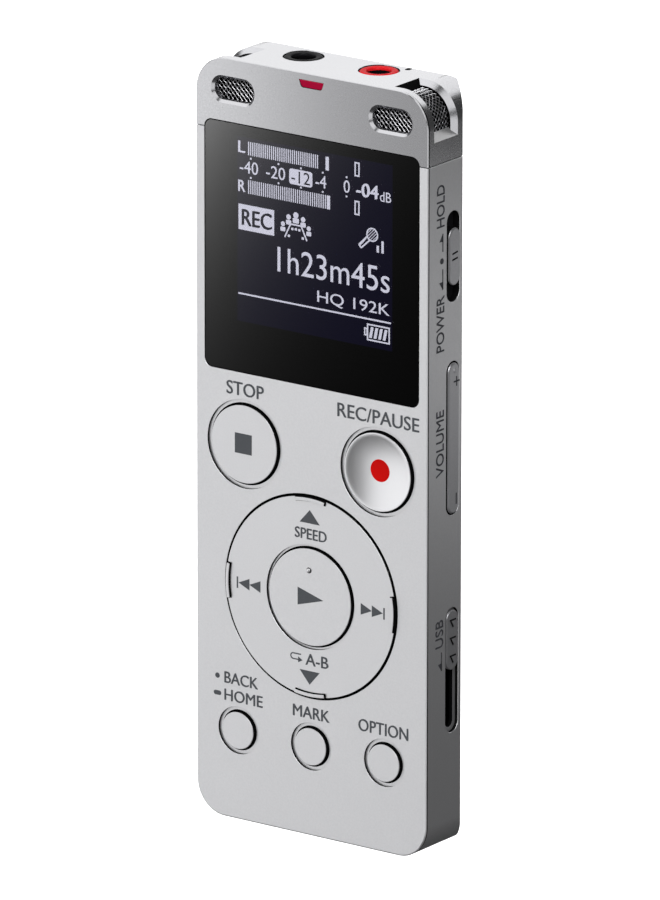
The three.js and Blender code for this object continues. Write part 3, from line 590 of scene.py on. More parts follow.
# Chip packages are dull black with the fine grain of filled epoxy.
CHIP_EPOXY = Finish("black_epoxy_chip_package", "1D1D1F", "141416", roughness=0.55, grain_mm=0.12,
                    relief_mm=0.004)
# The coated paper cone is dark grey with a soft, fibrous surface.
SPEAKER_CONE = Finish("coated_paper_speaker_cone", "2B2B2E", "1D1D20", roughness=0.6, grain_mm=0.2,
                      relief_mm=0.01)

_built: dict[str, Material] = {}


def material(finish: Finish) -> Material:
    """The finish's material, built once."""
    if finish.name not in _built:
        _built[finish.name] = finish.build()
    return _built[finish.name]


# ---------- finished pieces ----------


def settle(name: str, made: Solid, body: str, finishes: Sequence[Finish],
           replaces: Sequence[str] = (), sharp: float = 28.0) -> Object:
    """Puts a finished piece in the frame.

    Args:
        name: the piece's name.
        made: its solid, in millimetres.
        body: the CAD body that it rides on.
        finishes: the finish of each zone.
        replaces: the CAD nodes that it stands for.
        sharp: edges that turn more than this many degrees stay sharp.

    Returns:
        The piece.
    """
    mesh = made.mesh.copy()
    mesh.name = name
    mesh.transform(Matrix.Diagonal((MM, MM, MM, 1.0)))
    for zone in Zone:
        mesh.materials[zone] = material(finishes[min(int(zone), len(finishes) - 1)])
    mesh.polygons.foreach_set("use_smooth", [True] * len(mesh.polygons))
    mesh.set_sharp_from_angle(angle=math.radians(sharp))
    shaped = link(name + "_shaping", mesh)
    weights = shaped.modifiers.new("weights", "WEIGHTED_NORMAL")
    weights.keep_sharp = True
    weights.weight = 100
    piece = link(name, evaluated_mesh(shaped))
    bpy.data.objects.remove(shaped)
    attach(piece, body)
    if replaces:
        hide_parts(*replaces)
    log.info("%s: %d faces on %s", name, len(piece.data.polygons), body)
    return piece


@dataclass
class Lettering:
    """Printed words and signs on one plane, gathered into one mesh.

    Attributes:
        plane: the plane that they are printed on.
        face: where its surface is, across the plane.
        outward: the sign of the outward direction across the plane.
        thick: how far the print stands above the surface.
        sunk: how far it reaches below the surface.
    """

    plane: Plane
    face: float
    outward: int
    thick: float = 0.02
    sunk: float = 0.01
    bm: bmesh.types.BMesh = field(default_factory=bmesh.new)

    def word(self, text: str, left: float, right: float, bottom: float, top: float, bold: float = 0.0,
             upright: bool = True) -> None:
        """Sets a word so that its ink just fills a box.

        Args:
            text: the word.
            left, right, bottom, top: the box, in the plane's own two directions.
            bold: how far, in millimetres, it is printed again beside itself to widen its strokes.
            upright: false turns the word a quarter left, to read upwards.
        """
        curve = bpy.data.curves.new("word", "FONT")
        curve.body = text
        curve.resolution_u = 4
        source = link("word", curve)
        mesh = evaluated_mesh(source)
        bpy.data.objects.remove(source)
        flat = [(v.co.x, v.co.y) for v in mesh.vertices]
        if not upright:
            flat = [(-y, x) for x, y in flat]
        lows = [min(p[i] for p in flat) for i in (0, 1)]
        highs = [max(p[i] for p in flat) for i in (0, 1)]
        spots = [
            (left + (u - lows[0]) / (highs[0] - lows[0]) * (right - left),
             bottom + (v - lows[1]) / (highs[1] - lows[1]) * (top - bottom))
            for u, v in flat
        ]
        faces = [list(p.vertices) for p in mesh.polygons]
        self._lay(spots, faces)
        if bold:
            self._lay([(u + bold, v + bold * 0.5) for u, v in spots], faces, lift=self.thick)

    def sign(self, *outline: Point) -> None:
        """Prints a filled outline."""
        self._lay(list(outline), [list(range(len(outline)))])

    def fill(self, left: float, right: float, bottom: float, top: float) -> None:
        """Prints a filled box."""
        self.sign((left, bottom), (right, bottom), (right, top), (left, top))

    def frame(self, left: float, right: float, bottom: float, top: float, line: float) -> None:
        """Prints the outline of a box."""
        self.fill(left, right, bottom, bottom + line)
        self.fill(left, right, top - line, top)
        self.fill(left, left + line, bottom + line, top - line)
        self.fill(right - line, right, bottom + line, top - line)

    def bar(self, start: Point, end: Point, width: float) -> None:
        """Prints a straight stroke from one point to another."""
        along = Vector(end) - Vector(start)
        side = Vector((-along.y, along.x)).normalized() * width / 2
        corners = [Vector(start) - side, Vector(end) - side, Vector(end) + side, Vector(start) + side]
        self.sign(*[(c.x, c.y) for c in corners])

    def stroke(self, path: Ring, width: float) -> None:
        """Prints a line of even width along a path."""
        for start, end in zip(path, path[1:]):
            self.bar(start, end, width)

    def _lay(self, spots: list[Point], faces: list[list[int]], lift: float = 0.0) -> None:
        """Adds a flat patch as a thin closed slab.

        Args:
            spots: its points, in the plane's own two directions.
            faces: its faces, as places in spots.
            lift: how much higher than thick its top stands, so that two patches can lie over each other.
        """
        patch = bmesh.new()
        inner = self.face - self.outward * self.sunk
        verts = [patch.verts.new(self.plane.place(u, v, inner)) for u, v in spots]
        for corners in faces:
            try:
                patch.faces.new([verts[i] for i in corners])
            except ValueError:
                continue
        bmesh.ops.remove_doubles(patch, verts=patch.verts, dist=0.001)
        made = bmesh.ops.extrude_face_region(patch, geom=list(patch.faces))
        raised = [g for g in made["geom"] if isinstance(g, bmesh.types.BMVert)]
        zero = Vector(self.plane.place(0, 0, 0))
        up = (Vector(self.plane.place(0, 0, 1)) - zero) * self.outward
        bmesh.ops.translate(patch, verts=raised, vec=up * (self.thick + self.sunk + lift))
        bmesh.ops.recalc_face_normals(patch, faces=patch.faces)
        mesh = bpy.data.meshes.new("patch")
        patch.to_mesh(mesh)
        patch.free()
        self.bm.from_mesh(mesh)

    def add(self, mesh: Mesh) -> None:
        """Adds a mesh that is already in place, in millimetres."""
        self.bm.from_mesh(mesh)

    def solid(self) -> Solid:
        """Everything printed so far."""
        mesh = bpy.data.meshes.new("print")
        self.bm.to_mesh(mesh)
        self.bm.free()
        return Solid(with_zones(mesh))


# ---------- trees that repeat a shape ----------


@dataclass
class Repeat:
    """A Geometry Nodes tree with named inputs, run once on a mesh in millimetres."""

    name: str
    inputs: dict[str, tuple[str, Any]]
    tree: NodeTree = field(init=False)
    start: Node = field(init=False)

    def __post_init__(self) -> None:
        """Makes the tree's sockets."""
        self.tree = bpy.data.node_groups.new(self.name, "GeometryNodeTree")
        self.tree.interface.new_socket("Geometry", in_out="INPUT", socket_type="NodeSocketGeometry")
        self.tree.interface.new_socket("Geometry", in_out="OUTPUT", socket_type="NodeSocketGeometry")
        for label, (kind, value) in {**self.inputs, "Material": ("NodeSocketMaterial", None)}.items():
            made = self.tree.interface.new_socket(label, in_out="INPUT", socket_type=kind)
            if value is not None:
                made.default_value = value
        self.start = self.node("NodeGroupInput")

    def node(self, kind: str, inputs: dict | None = None, **settings: Any) -> Node:
        """Adds a node to this tree."""
        return add_node(self.tree, kind, inputs, **settings)

    def close(self, geometry: NodeSocket) -> None:
        """Realizes what the tree has made, sets its material and ends the tree."""
        real = self.node("GeometryNodeRealizeInstances", {"Geometry": geometry}).outputs[0]
        dressed = self.node("GeometryNodeSetMaterial",
                            {"Geometry": real, "Material": self.start.outputs["Material"]}).outputs[0]
        self.node("NodeGroupOutput", {"Geometry": dressed})

    def run(self, base: Mesh, **values: Any) -> Mesh:
        """Runs the tree on a mesh.

        Args:
            base: the mesh that it starts from.
            values: input values by label, with _ for each space.

        Returns:
            The result as a plain mesh.
        """
        holder = link(self.name, base)
        modifier = holder.modifiers.new(self.name, "NODES")
        modifier.node_group = self.tree
        names = {item.name: item.identifier for item in self.tree.interface.items_tree if item.in_out == "INPUT"}
        for key, value in values.items():
            modifier[names[key.replace("_", " ")]] = value
        made = evaluated_mesh(holder)
        holder.modifiers.remove(modifier)
        bpy.data.objects.remove(holder)
        return made


def polyline(points: Sequence[tuple[float, float, float]]) -> Mesh:
    """A mesh of edges along a path."""
    mesh = bpy.data.meshes.new("path")
    mesh.from_pydata([tuple(p) for p in points], [(i, i + 1) for i in range(len(points) - 1)], [])
    return mesh


def weave_tree() -> Repeat:
    """Two crossing families of diagonal wires, woven over and under and laid along a path.

    Returns:
        The tree. It starts from a path; Across is the direction of the sheet's other side, and
        Outward is 1 or -1 for the side of the path that the sheet bulges to.
    """
    made = Repeat("woven_wire_sheet", {
        "Length": ("NodeSocketFloat", 10.0), "Width": ("NodeSocketFloat", 5.0),
        "Pitch": ("NodeSocketFloat", 0.46), "Wire": ("NodeSocketFloat", 0.17),
        "Across": ("NodeSocketVector", (0.0, 1.0, 0.0)), "Outward": ("NodeSocketFloat", 1.0),
    })
    source, node = made.start.outputs, made.node
    path = node("GeometryNodeMeshToCurve", {0: source["Geometry"]}).outputs[0]
    halves = {name: node("ShaderNodeMath", {0: source[name], 1: 0.5}, operation="MULTIPLY").outputs[0]
              for name in ("Length", "Width", "Wire")}

    # One family of straight wires, as many as cover the sheet when it is turned.
    span = node("ShaderNodeMath", {0: source["Length"], 1: source["Width"]}, operation="ADD").outputs[0]
    shares = node("ShaderNodeMath", {0: span, 1: source["Pitch"]}, operation="DIVIDE").outputs[0]
    count = node("ShaderNodeMath", {0: shares}, operation="CEIL").outputs[0]
    steps = node("ShaderNodeMath", {0: count, 1: 4.0}, operation="MULTIPLY").outputs[0]
    reach = node("ShaderNodeMath", {0: count, 1: source["Pitch"]}, operation="MULTIPLY").outputs[0]
    ahead, behind = (node("ShaderNodeMath", {0: reach, 1: share}, operation="MULTIPLY").outputs[0]
                     for share in (0.5, -0.5))
    low = node("ShaderNodeCombineXYZ", {0: behind}).outputs[0]
    high = node("ShaderNodeCombineXYZ", {0: ahead}).outputs[0]
    wire = node("GeometryNodeCurvePrimitiveLine", {"Start": low, "End": high}).outputs[0]
    fine = node("GeometryNodeResampleCurve", {"Curve": wire, "Count": steps}).outputs[0]
    first = node("ShaderNodeCombineXYZ", {1: behind}).outputs[0]
    stride = node("ShaderNodeCombineXYZ", {1: source["Pitch"]}).outputs[0]
    posts = node("GeometryNodeMeshLine", {"Count": count, "Start Location": first, "Offset": stride},
                 mode="OFFSET").outputs[0]
    rows = node("GeometryNodeInstanceOnPoints", {"Points": posts, "Instance": fine}).outputs[0]
    lines = node("GeometryNodeRealizeInstances", {"Geometry": rows}).outputs[0]

    # What lies past the sheet's edges is dropped.
    flat = node("ShaderNodeSeparateXYZ", {0: node("GeometryNodeInputPosition").outputs[0]}).outputs
    past = []
    for along, half in ((flat[0], halves["Length"]), (flat[1], halves["Width"])):
        size = node("ShaderNodeMath", {0: along}, operation="ABSOLUTE").outputs[0]
        past.append(node("ShaderNodeMath", {0: size, 1: half}, operation="GREATER_THAN").outputs[0])
    outside = node("ShaderNodeMath", {0: past[0], 1: past[1]}, operation="ADD").outputs[0]

    # Each point's place on the bent sheet, and the wave of a wire over and under the others.
    station = node("ShaderNodeMath", {0: flat[0], 1: halves["Length"]}, operation="ADD").outputs[0]
    sample = node("GeometryNodeSampleCurve", {"Curves": path, "Length": station}, mode="LENGTH",
                  use_all_curves=True).outputs
    square = node("ShaderNodeVectorMath", {0: sample["Tangent"], 1: source["Across"]},
                  operation="CROSS_PRODUCT").outputs[0]
    normal = node("ShaderNodeVectorMath", {0: square}, operation="NORMALIZE").outputs[0]
    shift = node("ShaderNodeVectorMath", {0: source["Across"], "Scale": flat[1]}, operation="SCALE").outputs[0]
    spot = node("ShaderNodeVectorMath", {0: sample["Position"], 1: shift}, operation="ADD").outputs[0]
    rate = node("ShaderNodeMath", {0: math.pi * math.sqrt(2), 1: source["Pitch"]}, operation="DIVIDE").outputs[0]
    phase = node("ShaderNodeMath", {0: flat[0], 1: rate}, operation="MULTIPLY").outputs[0]
    wave = node("ShaderNodeMath", {0: phase}, operation="COSINE").outputs[0]
    section = node("GeometryNodeCurvePrimitiveCircle", {"Resolution": 6, "Radius": halves["Wire"]}).outputs[0]
    both = node("GeometryNodeJoinGeometry")
    for lean in (1.0, -1.0):
        leaning = node("GeometryNodeTransform",
                       {"Geometry": lines, "Rotation": (0.0, 0.0, lean * math.pi / 4)}).outputs[0]
        kept = node("GeometryNodeDeleteGeometry", {"Geometry": leaning, "Selection": outside},
                    domain="POINT").outputs[0]
        crown = node("ShaderNodeMath", {0: source["Wire"], 1: 0.34 * lean}, operation="MULTIPLY").outputs[0]
        height = node("ShaderNodeMath", {0: wave, 1: crown}, operation="MULTIPLY").outputs[0]
        rise = node("ShaderNodeMath", {0: height, 1: source["Outward"]}, operation="MULTIPLY").outputs[0]
        lift = node("ShaderNodeVectorMath", {0: normal, "Scale": rise}, operation="SCALE").outputs[0]
        place = node("ShaderNodeVectorMath", {0: spot, 1: lift}, operation="ADD").outputs[0]
        laid = node("GeometryNodeSetPosition", {"Geometry": kept, "Position": place}).outputs[0]
        family = node("GeometryNodeCurveToMesh",
                      {"Curve": laid, "Profile Curve": section, "Fill Caps": True}).outputs[0]
        made.tree.links.new(family, both.inputs[0])
    made.close(both.outputs[0])
    return made


def row_tree() -> Repeat:
    """A row of equal blocks on a line.

    Returns:
        The tree. Size is one block's size, and Stride is the step from one to the next.
    """
    made = Repeat("row_of_blocks", {
        "Count": ("NodeSocketInt", 10), "First": ("NodeSocketVector", (0.0, 0.0, 0.0)),
        "Stride": ("NodeSocketVector", (0.3, 0.0, 0.0)), "Size": ("NodeSocketVector", (0.2, 0.02, 1.8)),
    })
    source = made.start.outputs
    line = made.node("GeometryNodeMeshLine",
                     {"Count": source["Count"], "Start Location": source["First"], "Offset": source["Stride"]},
                     mode="OFFSET").outputs[0]
    unit = made.node("GeometryNodeMeshCube", {"Size": source["Size"]}).outputs[0]
    made.close(made.node("GeometryNodeInstanceOnPoints", {"Points": line, "Instance": unit}).outputs[0])
    return made


def ring_tree() -> Repeat:
    """Round pins in rings about a centre, to cut a pattern of holes.

    Returns:
        The tree. It starts from a mesh with one point at each pin's place.
    """
    made = Repeat("pins_at_points", {
        "Radius": ("NodeSocketFloat", 0.5), "Depth": ("NodeSocketFloat", 2.0),
    })
    source = made.start.outputs
    pin = made.node("GeometryNodeMeshCylinder",
                    {"Vertices": 24, "Radius": source["Radius"], "Depth": source["Depth"]}).outputs[0]
    laid = made.node("GeometryNodeTransform", {"Geometry": pin, "Rotation": (math.pi / 2, 0.0, 0.0)}).outputs[0]
    pins = made.node("GeometryNodeInstanceOnPoints", {"Points": source["Geometry"], "Instance": laid})
    made.close(pins.outputs[0])
    return made


# ---------- the case ----------


@dataclass
class Case:
    """The front case, the back case and the microphone head.

    Attributes:
        top_radius, bottom_radius: the corner radii of its outline.
        shoulder: how far behind the front the sides start to slope to the back.
        back_inset: how much narrower the back is, each side.
        shoulder_round, back_round: the radii of the two edges of that slope.
        wall: the wall behind the sides and back; front_wall is the front's.
        edge, foot_bevel: the bevel of the front's edge, and what its foot has more.
        groove_start, groove_end, groove_deep: the fine line round the front's edge.
        seam_edge: the bevel where the case is split.
        window, window_radius, window_pocket: the window's sides, corners and recess.
        sight: the opening behind the window.
        ledge, ledge_width: the depth and width of the ledge round a key.
        slot_depth, slot_width: how far behind the front the side slots lie, and their width.
        plug_opening, cover: the sides of the plug's mouth and of the card cover's opening.
    """

    top_radius: float = 4.8
    bottom_radius: float = 4.4
    shoulder: float = 7.7
    back_inset: float = 3.0
    shoulder_round: float = 1.0
    back_round: float = 0.6
    wall: float = 1.0
    front_wall: float = 1.2
    edge: float = 0.1
    foot_bevel: float = 0.14
    groove_start: float = 0.17
    groove_end: float = 0.36
    groove_deep: float = 0.14
    seam_edge: float = 0.06
    window: tuple[float, float, float, float] = (-17.0, 17.0, 60.5, 93.65)
    window_radius: float = 1.2
    window_pocket: float = 0.85
    sight: tuple[float, float, float, float] = (-15.2, 15.2, 62.0, 93.0)
    ledge: float = 0.30
    ledge_width: float = 0.46
    slot_depth: float = 5.6
    slot_width: float = 2.8
    plug_opening: tuple[float, float, float, float] = (0.8, 13.2, 4.0, 8.9)
    cover: tuple[float, float, float, float] = (2.9, 6.3, 61.4, 77.1)

    def outline(self, inset: float, raised: float = 0.0, foot: float = 0.0) -> Ring:
        """The case seen from the front.

        Args:
            inset: how far it is brought in all round.
            raised: how far its top is put back up.
            foot: how much further its bottom is brought in.

        Returns:
            Its outline.
        """
        side = HALF_WIDTH - inset
        return rounded(-side, side, inset + foot, HEIGHT - inset + raised, self.bottom_radius - inset,
                       self.top_radius - inset, steps=20)

    def section(self, inset: float) -> Ring:
        """The case seen from the bottom end: flat sides, a soft shoulder and the slope to the back."""
        x, back = HALF_WIDTH - inset, BACK_DEPTH - inset
        drop = BACK_DEPTH - self.shoulder
        lean = math.degrees(math.atan2(self.back_inset, drop))
        shoulder_v = self.shoulder - inset * math.tan(math.radians(lean / 2))
        back_u = x - (back - shoulder_v) * self.back_inset / drop
        right = [
            *self._corner((x, 0), (x, shoulder_v), (back_u, back), self.shoulder_round),
            *self._corner((x, shoulder_v), (back_u, back), (0, back), self.back_round),
        ]
        left = [(-u, v) for u, v in reversed(right)]
        return [(-x, inset), (x, inset), *right, *left]

    @staticmethod
    def _corner(before: Point, corner: Point, after: Point, radius: float, steps: int = 8) -> Ring:
        """A round corner between two straight lines."""
        here = Vector(corner)
        back, on = (Vector(before) - here).normalized(), (Vector(after) - here).normalized()
        half = back.angle(on) / 2
        reach = radius / math.tan(half)
        centre = here + (back + on).normalized() * radius / math.sin(half)
        start, end = here + back * reach - centre, here + on * reach - centre
        swing = start.angle_signed(end)
        points = []
        for i in range(steps + 1):
            turn = -swing * i / steps
            points.append((centre.x + start.x * math.cos(turn) - start.y * math.sin(turn),
                           centre.y + start.x * math.sin(turn) + start.y * math.cos(turn)))
        return points

    def end_profile(self) -> Ring:
        """The case seen from the side: square at the front, round at the back of each end."""
        r = self.back_round
        return [(-1, 0), *arc(BACK_DEPTH - r, r, r, -90, 0, 8), *arc(BACK_DEPTH - r, HEIGHT - r, r, 0, 90, 8),
                (-1, HEIGHT)]

    def body(self, front: float, back: float, bottom: float, top: float) -> Solid:
        """The outside of the case between two depths and two heights, with fine edges where it is split."""
        e = self.seam_edge
        if front <= 0:
            steps = [(0.0, self.edge), (self.edge, 0.0), (self.groove_start, 0.0),
                     (self.groove_start, self.groove_deep), (self.groove_end, self.groove_deep),
                     (self.groove_end, 0.0)]
            # The groove's two walls are painted black as the groove's shade.
            zones = [MAIN, MAIN, INSIDE, MAIN, INSIDE, MAIN, MAIN]
        else:
            steps = [(front, e), (front + e, 0.0)]
            zones = [MAIN, MAIN, MAIN]
        steps += [(back - e, 0.0), (back, e)]
        levels = []
        for depth, inset in steps:
            # The groove stays off the top edge, and the foot of the front face is bevelled more.
            raised = inset if inset == self.groove_deep else 0.0
            levels.append((depth, self.outline(inset, raised, self.foot_bevel if depth == 0.0 else 0.0)))
        shape = stack(FRONT, levels, zones)
        plain, fine = self.section(0), self.section(e)
        low = [(bottom, fine), (bottom + e, plain)] if bottom > 0 else [(-1, plain)]
        high = [(top - e, plain), (top, fine)] if top < HEIGHT else [(HEIGHT + 1, plain)]
        ends = prism(SIDE, self.end_profile(), -HALF_WIDTH - 1, HALF_WIDTH + 1)
        return shape.meet(stack(END, low + high), ends)

    def hollow(self) -> Solid:
        """The space inside the case."""
        inside = prism(FRONT, self.outline(self.wall), self.front_wall, BACK_DEPTH - self.wall, INSIDE)
        return inside.meet(prism(END, self.section(self.wall), 0, HEIGHT, INSIDE))

    def window_recess(self) -> Solid:
        """The shallow recess that the window lies in."""
        bevel = 0.03
        # The recess's walls and floor are painted black as the shade in the gap round the window.
        return stepped(FRONT, shrinking(*self.window, self.window_radius),
                       [(bevel - 1, -1), (0, -bevel), (bevel, 0), (self.window_pocket, 0)],
                       [MAIN, MAIN, INSIDE], INSIDE)

    def key_hole(self, x: float, z: float, radius: float, ledge: bool) -> Solid:
        """A round hole with, if asked, a shallow ledge round it that the key's rim sits in."""
        outer = radius + (self.ledge_width if ledge else 0.02)
        deep = self.ledge
        profile = [(0, -1.0), (outer + 0.02 + 1.0, -1.0), (outer + 0.02, 0.0), (outer, 0.02), (outer, deep),
                   (radius + 0.02, deep), (radius, deep + 0.02), (radius, 2.0), (0, 2.0)]
        # The walls of the ledge and of the hole are painted black as the shade in the gap round the key.
        zones = [MAIN, MAIN, MAIN, INSIDE, MAIN, INSIDE, INSIDE, INSIDE]
        if not ledge:
            profile = [(0, -1.0), (outer + 1.0, -1.0), (outer, 0.0), (radius, 0.02), (radius, 2.0), (0, 2.0)]
            zones = [MAIN, MAIN, MAIN, INSIDE, INSIDE]
        return turned(FRONT, (x, z), profile, zones=zones)

    def side_slot(self, middle: float, length: float, deep: float, throat: float = 0.0) -> Solid:
        """A slot in the right side with a bevelled mouth; one with a throat has a lacquered floor."""
        wall = HALF_WIDTH - deep
        # The slot's walls, its throat and, without a throat, its floor are painted black as its shade.
        mouth = stepped(SIDE, partial(slot, self.slot_depth, middle, self.slot_width, length),
                        [(wall, 0), (HALF_WIDTH - 0.05, 0), (HALF_WIDTH + 0.95, -1)], [INSIDE, MAIN],
                        MAIN if throat else INSIDE)
        if not throat:
            return mouth
        slit = slot(self.slot_depth, middle, throat, length - 1.2)
        return mouth.join(prism(SIDE, slit, HALF_WIDTH - self.wall - 0.5, wall + 0.2, INSIDE))

    def plug_mouth(self) -> Solid:
        """The opening in the bottom end that the plug comes out of."""
        return stepped(END, shrinking(*self.plug_opening, 0.5, steps=6),
                       # The mouth's inner walls are painted black as its shade.
                       [(-1, -1.2), (0.2, 0), (self.wall + 0.5, 0)], [POLISHED, INSIDE], INSIDE)

    def build(self, controls: "Controls", plug: "Plug", speaker: "Loudspeaker") -> None:
        """Makes the front case and the back case."""
        hollow = self.hollow()
        front = self.body(0, SPLIT_DEPTH, 0, SEAM_LOW).cut(hollow)
        posts = [drum(x, z, 1.0, 3.25, 1.1, steps=20, zone=INSIDE) for x in (-15.1, 15.1) for z in (6.0, 58.5)]
        bosses = [drum(x, 41.5, 1.0, 8.5, 1.3, steps=24, zone=INSIDE) for x in (-13, 13)]
        front = front.join(*posts, *bosses)
        left, right, bottom, top = self.sight
        cover_front, cover_back, cover_bottom, cover_top = self.cover
        front = front.cut(
            self.window_recess(),
            block(left, right, 0.3, 2.0, bottom, top, INSIDE),
            *[self.key_hole(x, z, radius, ledge) for x, z, radius, ledge in controls.holes()],
            *[self.side_slot(middle, length, 1.5) for middle, length in controls.side_slots()],
            self.side_slot(plug.slot_middle, plug.slot_length, 0.5, plug.throat),
            self.plug_mouth(),
            # The gap round the card cover and the slit beside it are painted black as their shade.
            prism(SIDE, rounded(cover_front, cover_back, cover_bottom, cover_top, 1.3),
                  -HALF_WIDTH - 1, -HALF_WIDTH + 0.8, INSIDE),
            block(-HALF_WIDTH - 1, -HALF_WIDTH + 1.5, 4.1, 5.1, 63.5, 75.5, INSIDE),
        )
        shell_finishes = [SILVER_LACQUER, CUT_ALUMINIUM, BLACK_INSIDE_AND_PAINTED_SHADE]
        settle("front_shell", front, "case", shell_finishes, ["front_case"])
        back = self.body(SPLIT_DEPTH + 0.05, BACK_DEPTH, 0, SEAM_LOW).cut(hollow)
        pads = [drum(x, 41.5, 8.6, BACK_DEPTH - 0.8, 2.0, zone=INSIDE) for x in (-13, 13)]
        back = back.join(*pads)
        well = [(0, 8.0), (0.8, 8.0), (0.8, 9.75), (1.45, 9.75), (1.45, BACK_DEPTH - 0.1), (1.55, BACK_DEPTH),
                (2.55, BACK_DEPTH + 1), (0, BACK_DEPTH + 1)]
        # The wells' inner walls are painted black as their shade.
        wells = [turned(FRONT, (x, 41.5), well, zones=[*[INSIDE] * 4, *[MAIN] * 3], steps=48)
                 for x in (-13, 13)]
        back = back.cut(*wells, self.plug_mouth(), speaker.hole_cutter())
        settle("back_shell", back, "case", shell_finishes, ["back_case"])


@dataclass
class Head:
    """The microphone head: its shell, grilles, jacks and operation lens.

    Attributes:
        case: the case that it closes.
        window: each front window's middle, width and height, with window_bevel and window_radius.
        opening_x, opening_z: where each corner opening ends along the top and down the side.
        lip_depth: how far behind the front the openings start.
        rear_depth, rear_slant, rear_bevel: where their rear wall is, its slope and its bevel.
        mesh_inset, mesh_top_inset: how deep the mesh lies at the side and at the top.
        mesh_pitch, mesh_wire: the weave's wire spacing and wire thickness.
        jack_places, jack_depth: the middles of the two jacks.
        jack_bore, jack_ring: the inner and outer radius of a collar.
        lens_bottom, lens_top: the height of the operation lens.
    """

    case: Case
    window: tuple[float, float, float, float] = (12.45, 97.83, 6.9, 3.65)
    window_bevel: float = 0.36
    window_radius: float = 1.74
    opening_x: float = 12.1
    opening_z: float = 95.55
    lip_depth: float = 1.45
    rear_depth: float = 5.8
    rear_slant: float = 0.03
    rear_bevel: float = 0.68
    mesh_inset: float = 1.12
    mesh_top_inset: float = 1.0
    mesh_pitch: float = 0.5
    mesh_wire: float = 0.1
    jack_places: tuple[float, float] = (-6.15, 5.75)
    jack_depth: float = 6.75
    jack_bore: float = 1.6
    jack_ring: float = 2.64
    lens_bottom: float = 100.1
    lens_top: float = 101.05

    def mic_window(self, hand: Hand) -> Solid:
        """The oblong window in the front, with a wide cut bevel."""
        x, z, width, height = self.window
        outline = shrinking(hand * x - width / 2, hand * x + width / 2, z - height / 2, z + height / 2,
                            self.window_radius)
        b = self.window_bevel
        return stepped(FRONT, outline, [(-1, -1), (0, 0), (b * 0.9, b), (2, b)], [POLISHED] * 3, POLISHED)

    def corner_opening(self, hand: Hand) -> Solid:
        """The slot that runs over the upper corner, down to the wire mesh, with a wide cut bevel behind."""
        deep, fine, wide = 1.35, 0.1, self.rear_bevel
        lip = self.lip_depth
        section = [(-1.0, lip - fine - 1.0, 0.0), (fine, lip, 0.0), (deep, lip, 0.0), (deep, 0.0, 1.0),
                   (wide, 0.0, 1.0), (-1.0, wide + 1.0, 1.0)]
        # The floor under the mesh is painted black as shade, and the end wall takes the near-white finish as
        # painted light.
        zones = [POLISHED, POLISHED, INSIDE, INSIDE, POLISHED, MAIN]
        cu, cv = HALF_WIDTH - self.case.top_radius, HEIGHT - self.case.top_radius
        bm = bmesh.new()
        rings = []
        for number in range(27):
            corners = []
            for inset, depth, rear in section:
                r = self.case.top_radius - inset
                if number == 0:
                    u, v = HALF_WIDTH - inset, self.opening_z + inset
                elif number == 26:
                    u, v = self.opening_x + inset, HEIGHT - inset
                else:
                    turn = math.radians(90 * (number - 1) / 24)
                    u, v = cu + r * math.cos(turn), cv + r * math.sin(turn)
                back = (self.rear_depth + self.rear_slant * (HALF_WIDTH - min(u, HALF_WIDTH))) * rear
                corners.append(bm.verts.new(FRONT.place(hand * u, v, depth + back)))
            rings.append(corners)
        for near, far in zip(rings, rings[1:]):
            for j, zone in enumerate(zones):
                k = (j + 1) % len(zones)
                bm.faces.new((near[j], near[k], far[k], far[j])).material_index = int(zone)
        for ends, zone in ((rings[0], WALL), (rings[-1], INSIDE)):
            bm.faces.new(ends).material_index = int(zone)
        return Solid.closed(bm)

    def jack_hole(self, hand: Hand) -> Solid:
        """The hole for a jack's ring, with a fine bevel."""
        r = self.jack_ring + 0.05
        bevel = 0.06
        profile = [(0, HEIGHT - 2), (r, HEIGHT - 2), (r, HEIGHT - bevel), (r + bevel, HEIGHT),
                   (r + bevel + 1, HEIGHT + 1), (0, HEIGHT + 1)]
        # The hole's walls are painted black as the shade in the gap round the collar.
        return turned(END, (self.jack_places[hand > 0], self.jack_depth), profile,
                      zones=[INSIDE, INSIDE, *[POLISHED] * 3])

    def lens_shape(self, inset: float) -> Ring:
        """The operation lens: straight above, round at its lower corners."""
        top_half, r = 1.92 - inset, 0.42
        bottom, top = self.lens_bottom + inset, self.lens_top - inset
        return [(-top_half, top), *arc(-1.5 + r * 0.55 + inset, bottom + r, r, 205, 270, 6),
                *arc(1.5 - r * 0.55 - inset, bottom + r, r, -90, -25, 6), (top_half, top)]

    def build(self, weave: Repeat) -> None:
        """Makes the head and everything set into it."""
        shell = self.case.body(0, BACK_DEPTH, SEAM_HIGH, HEIGHT).cut(self.case.hollow())
        both = (Hand.LEFT, Hand.RIGHT)
        lens_cut = prism(FRONT, self.lens_shape(-0.05), -1, 2, INSIDE)
        # The pinhole's walls are painted black as its shade.
        eyelet = prism(END, rounded(8.15, 8.9, 8.8, 9.9, 0.36, steps=6), HEIGHT - 0.9, HEIGHT + 1, INSIDE)
        holes = [make(hand) for make in (self.mic_window, self.corner_opening, self.jack_hole) for hand in both]
        shell = shell.cut(self.case.window_recess(), *holes, lens_cut, eyelet)
        settle("head_shell", shell, "case",
               [BLASTED_ALUMINIUM, CUT_ALUMINIUM, BLACK_INSIDE_AND_PAINTED_SHADE, CUT_WALL_PAINTED_LIGHT], ["top_cap"])
        for hand in both:
            self.grille(hand, weave)
        self.jack(Hand.LEFT, "headphone_ring", BLACK_NYLON)
        self.jack(Hand.RIGHT, "mic_ring", RED_NYLON)
        lens = stepped(FRONT, self.lens_shape, [(0, 0.06), (0.05, 0), (1.2, 0)])
        settle("operation_lens_moulding", lens, "case", [RUBY_LENS], ["operation_lens"])

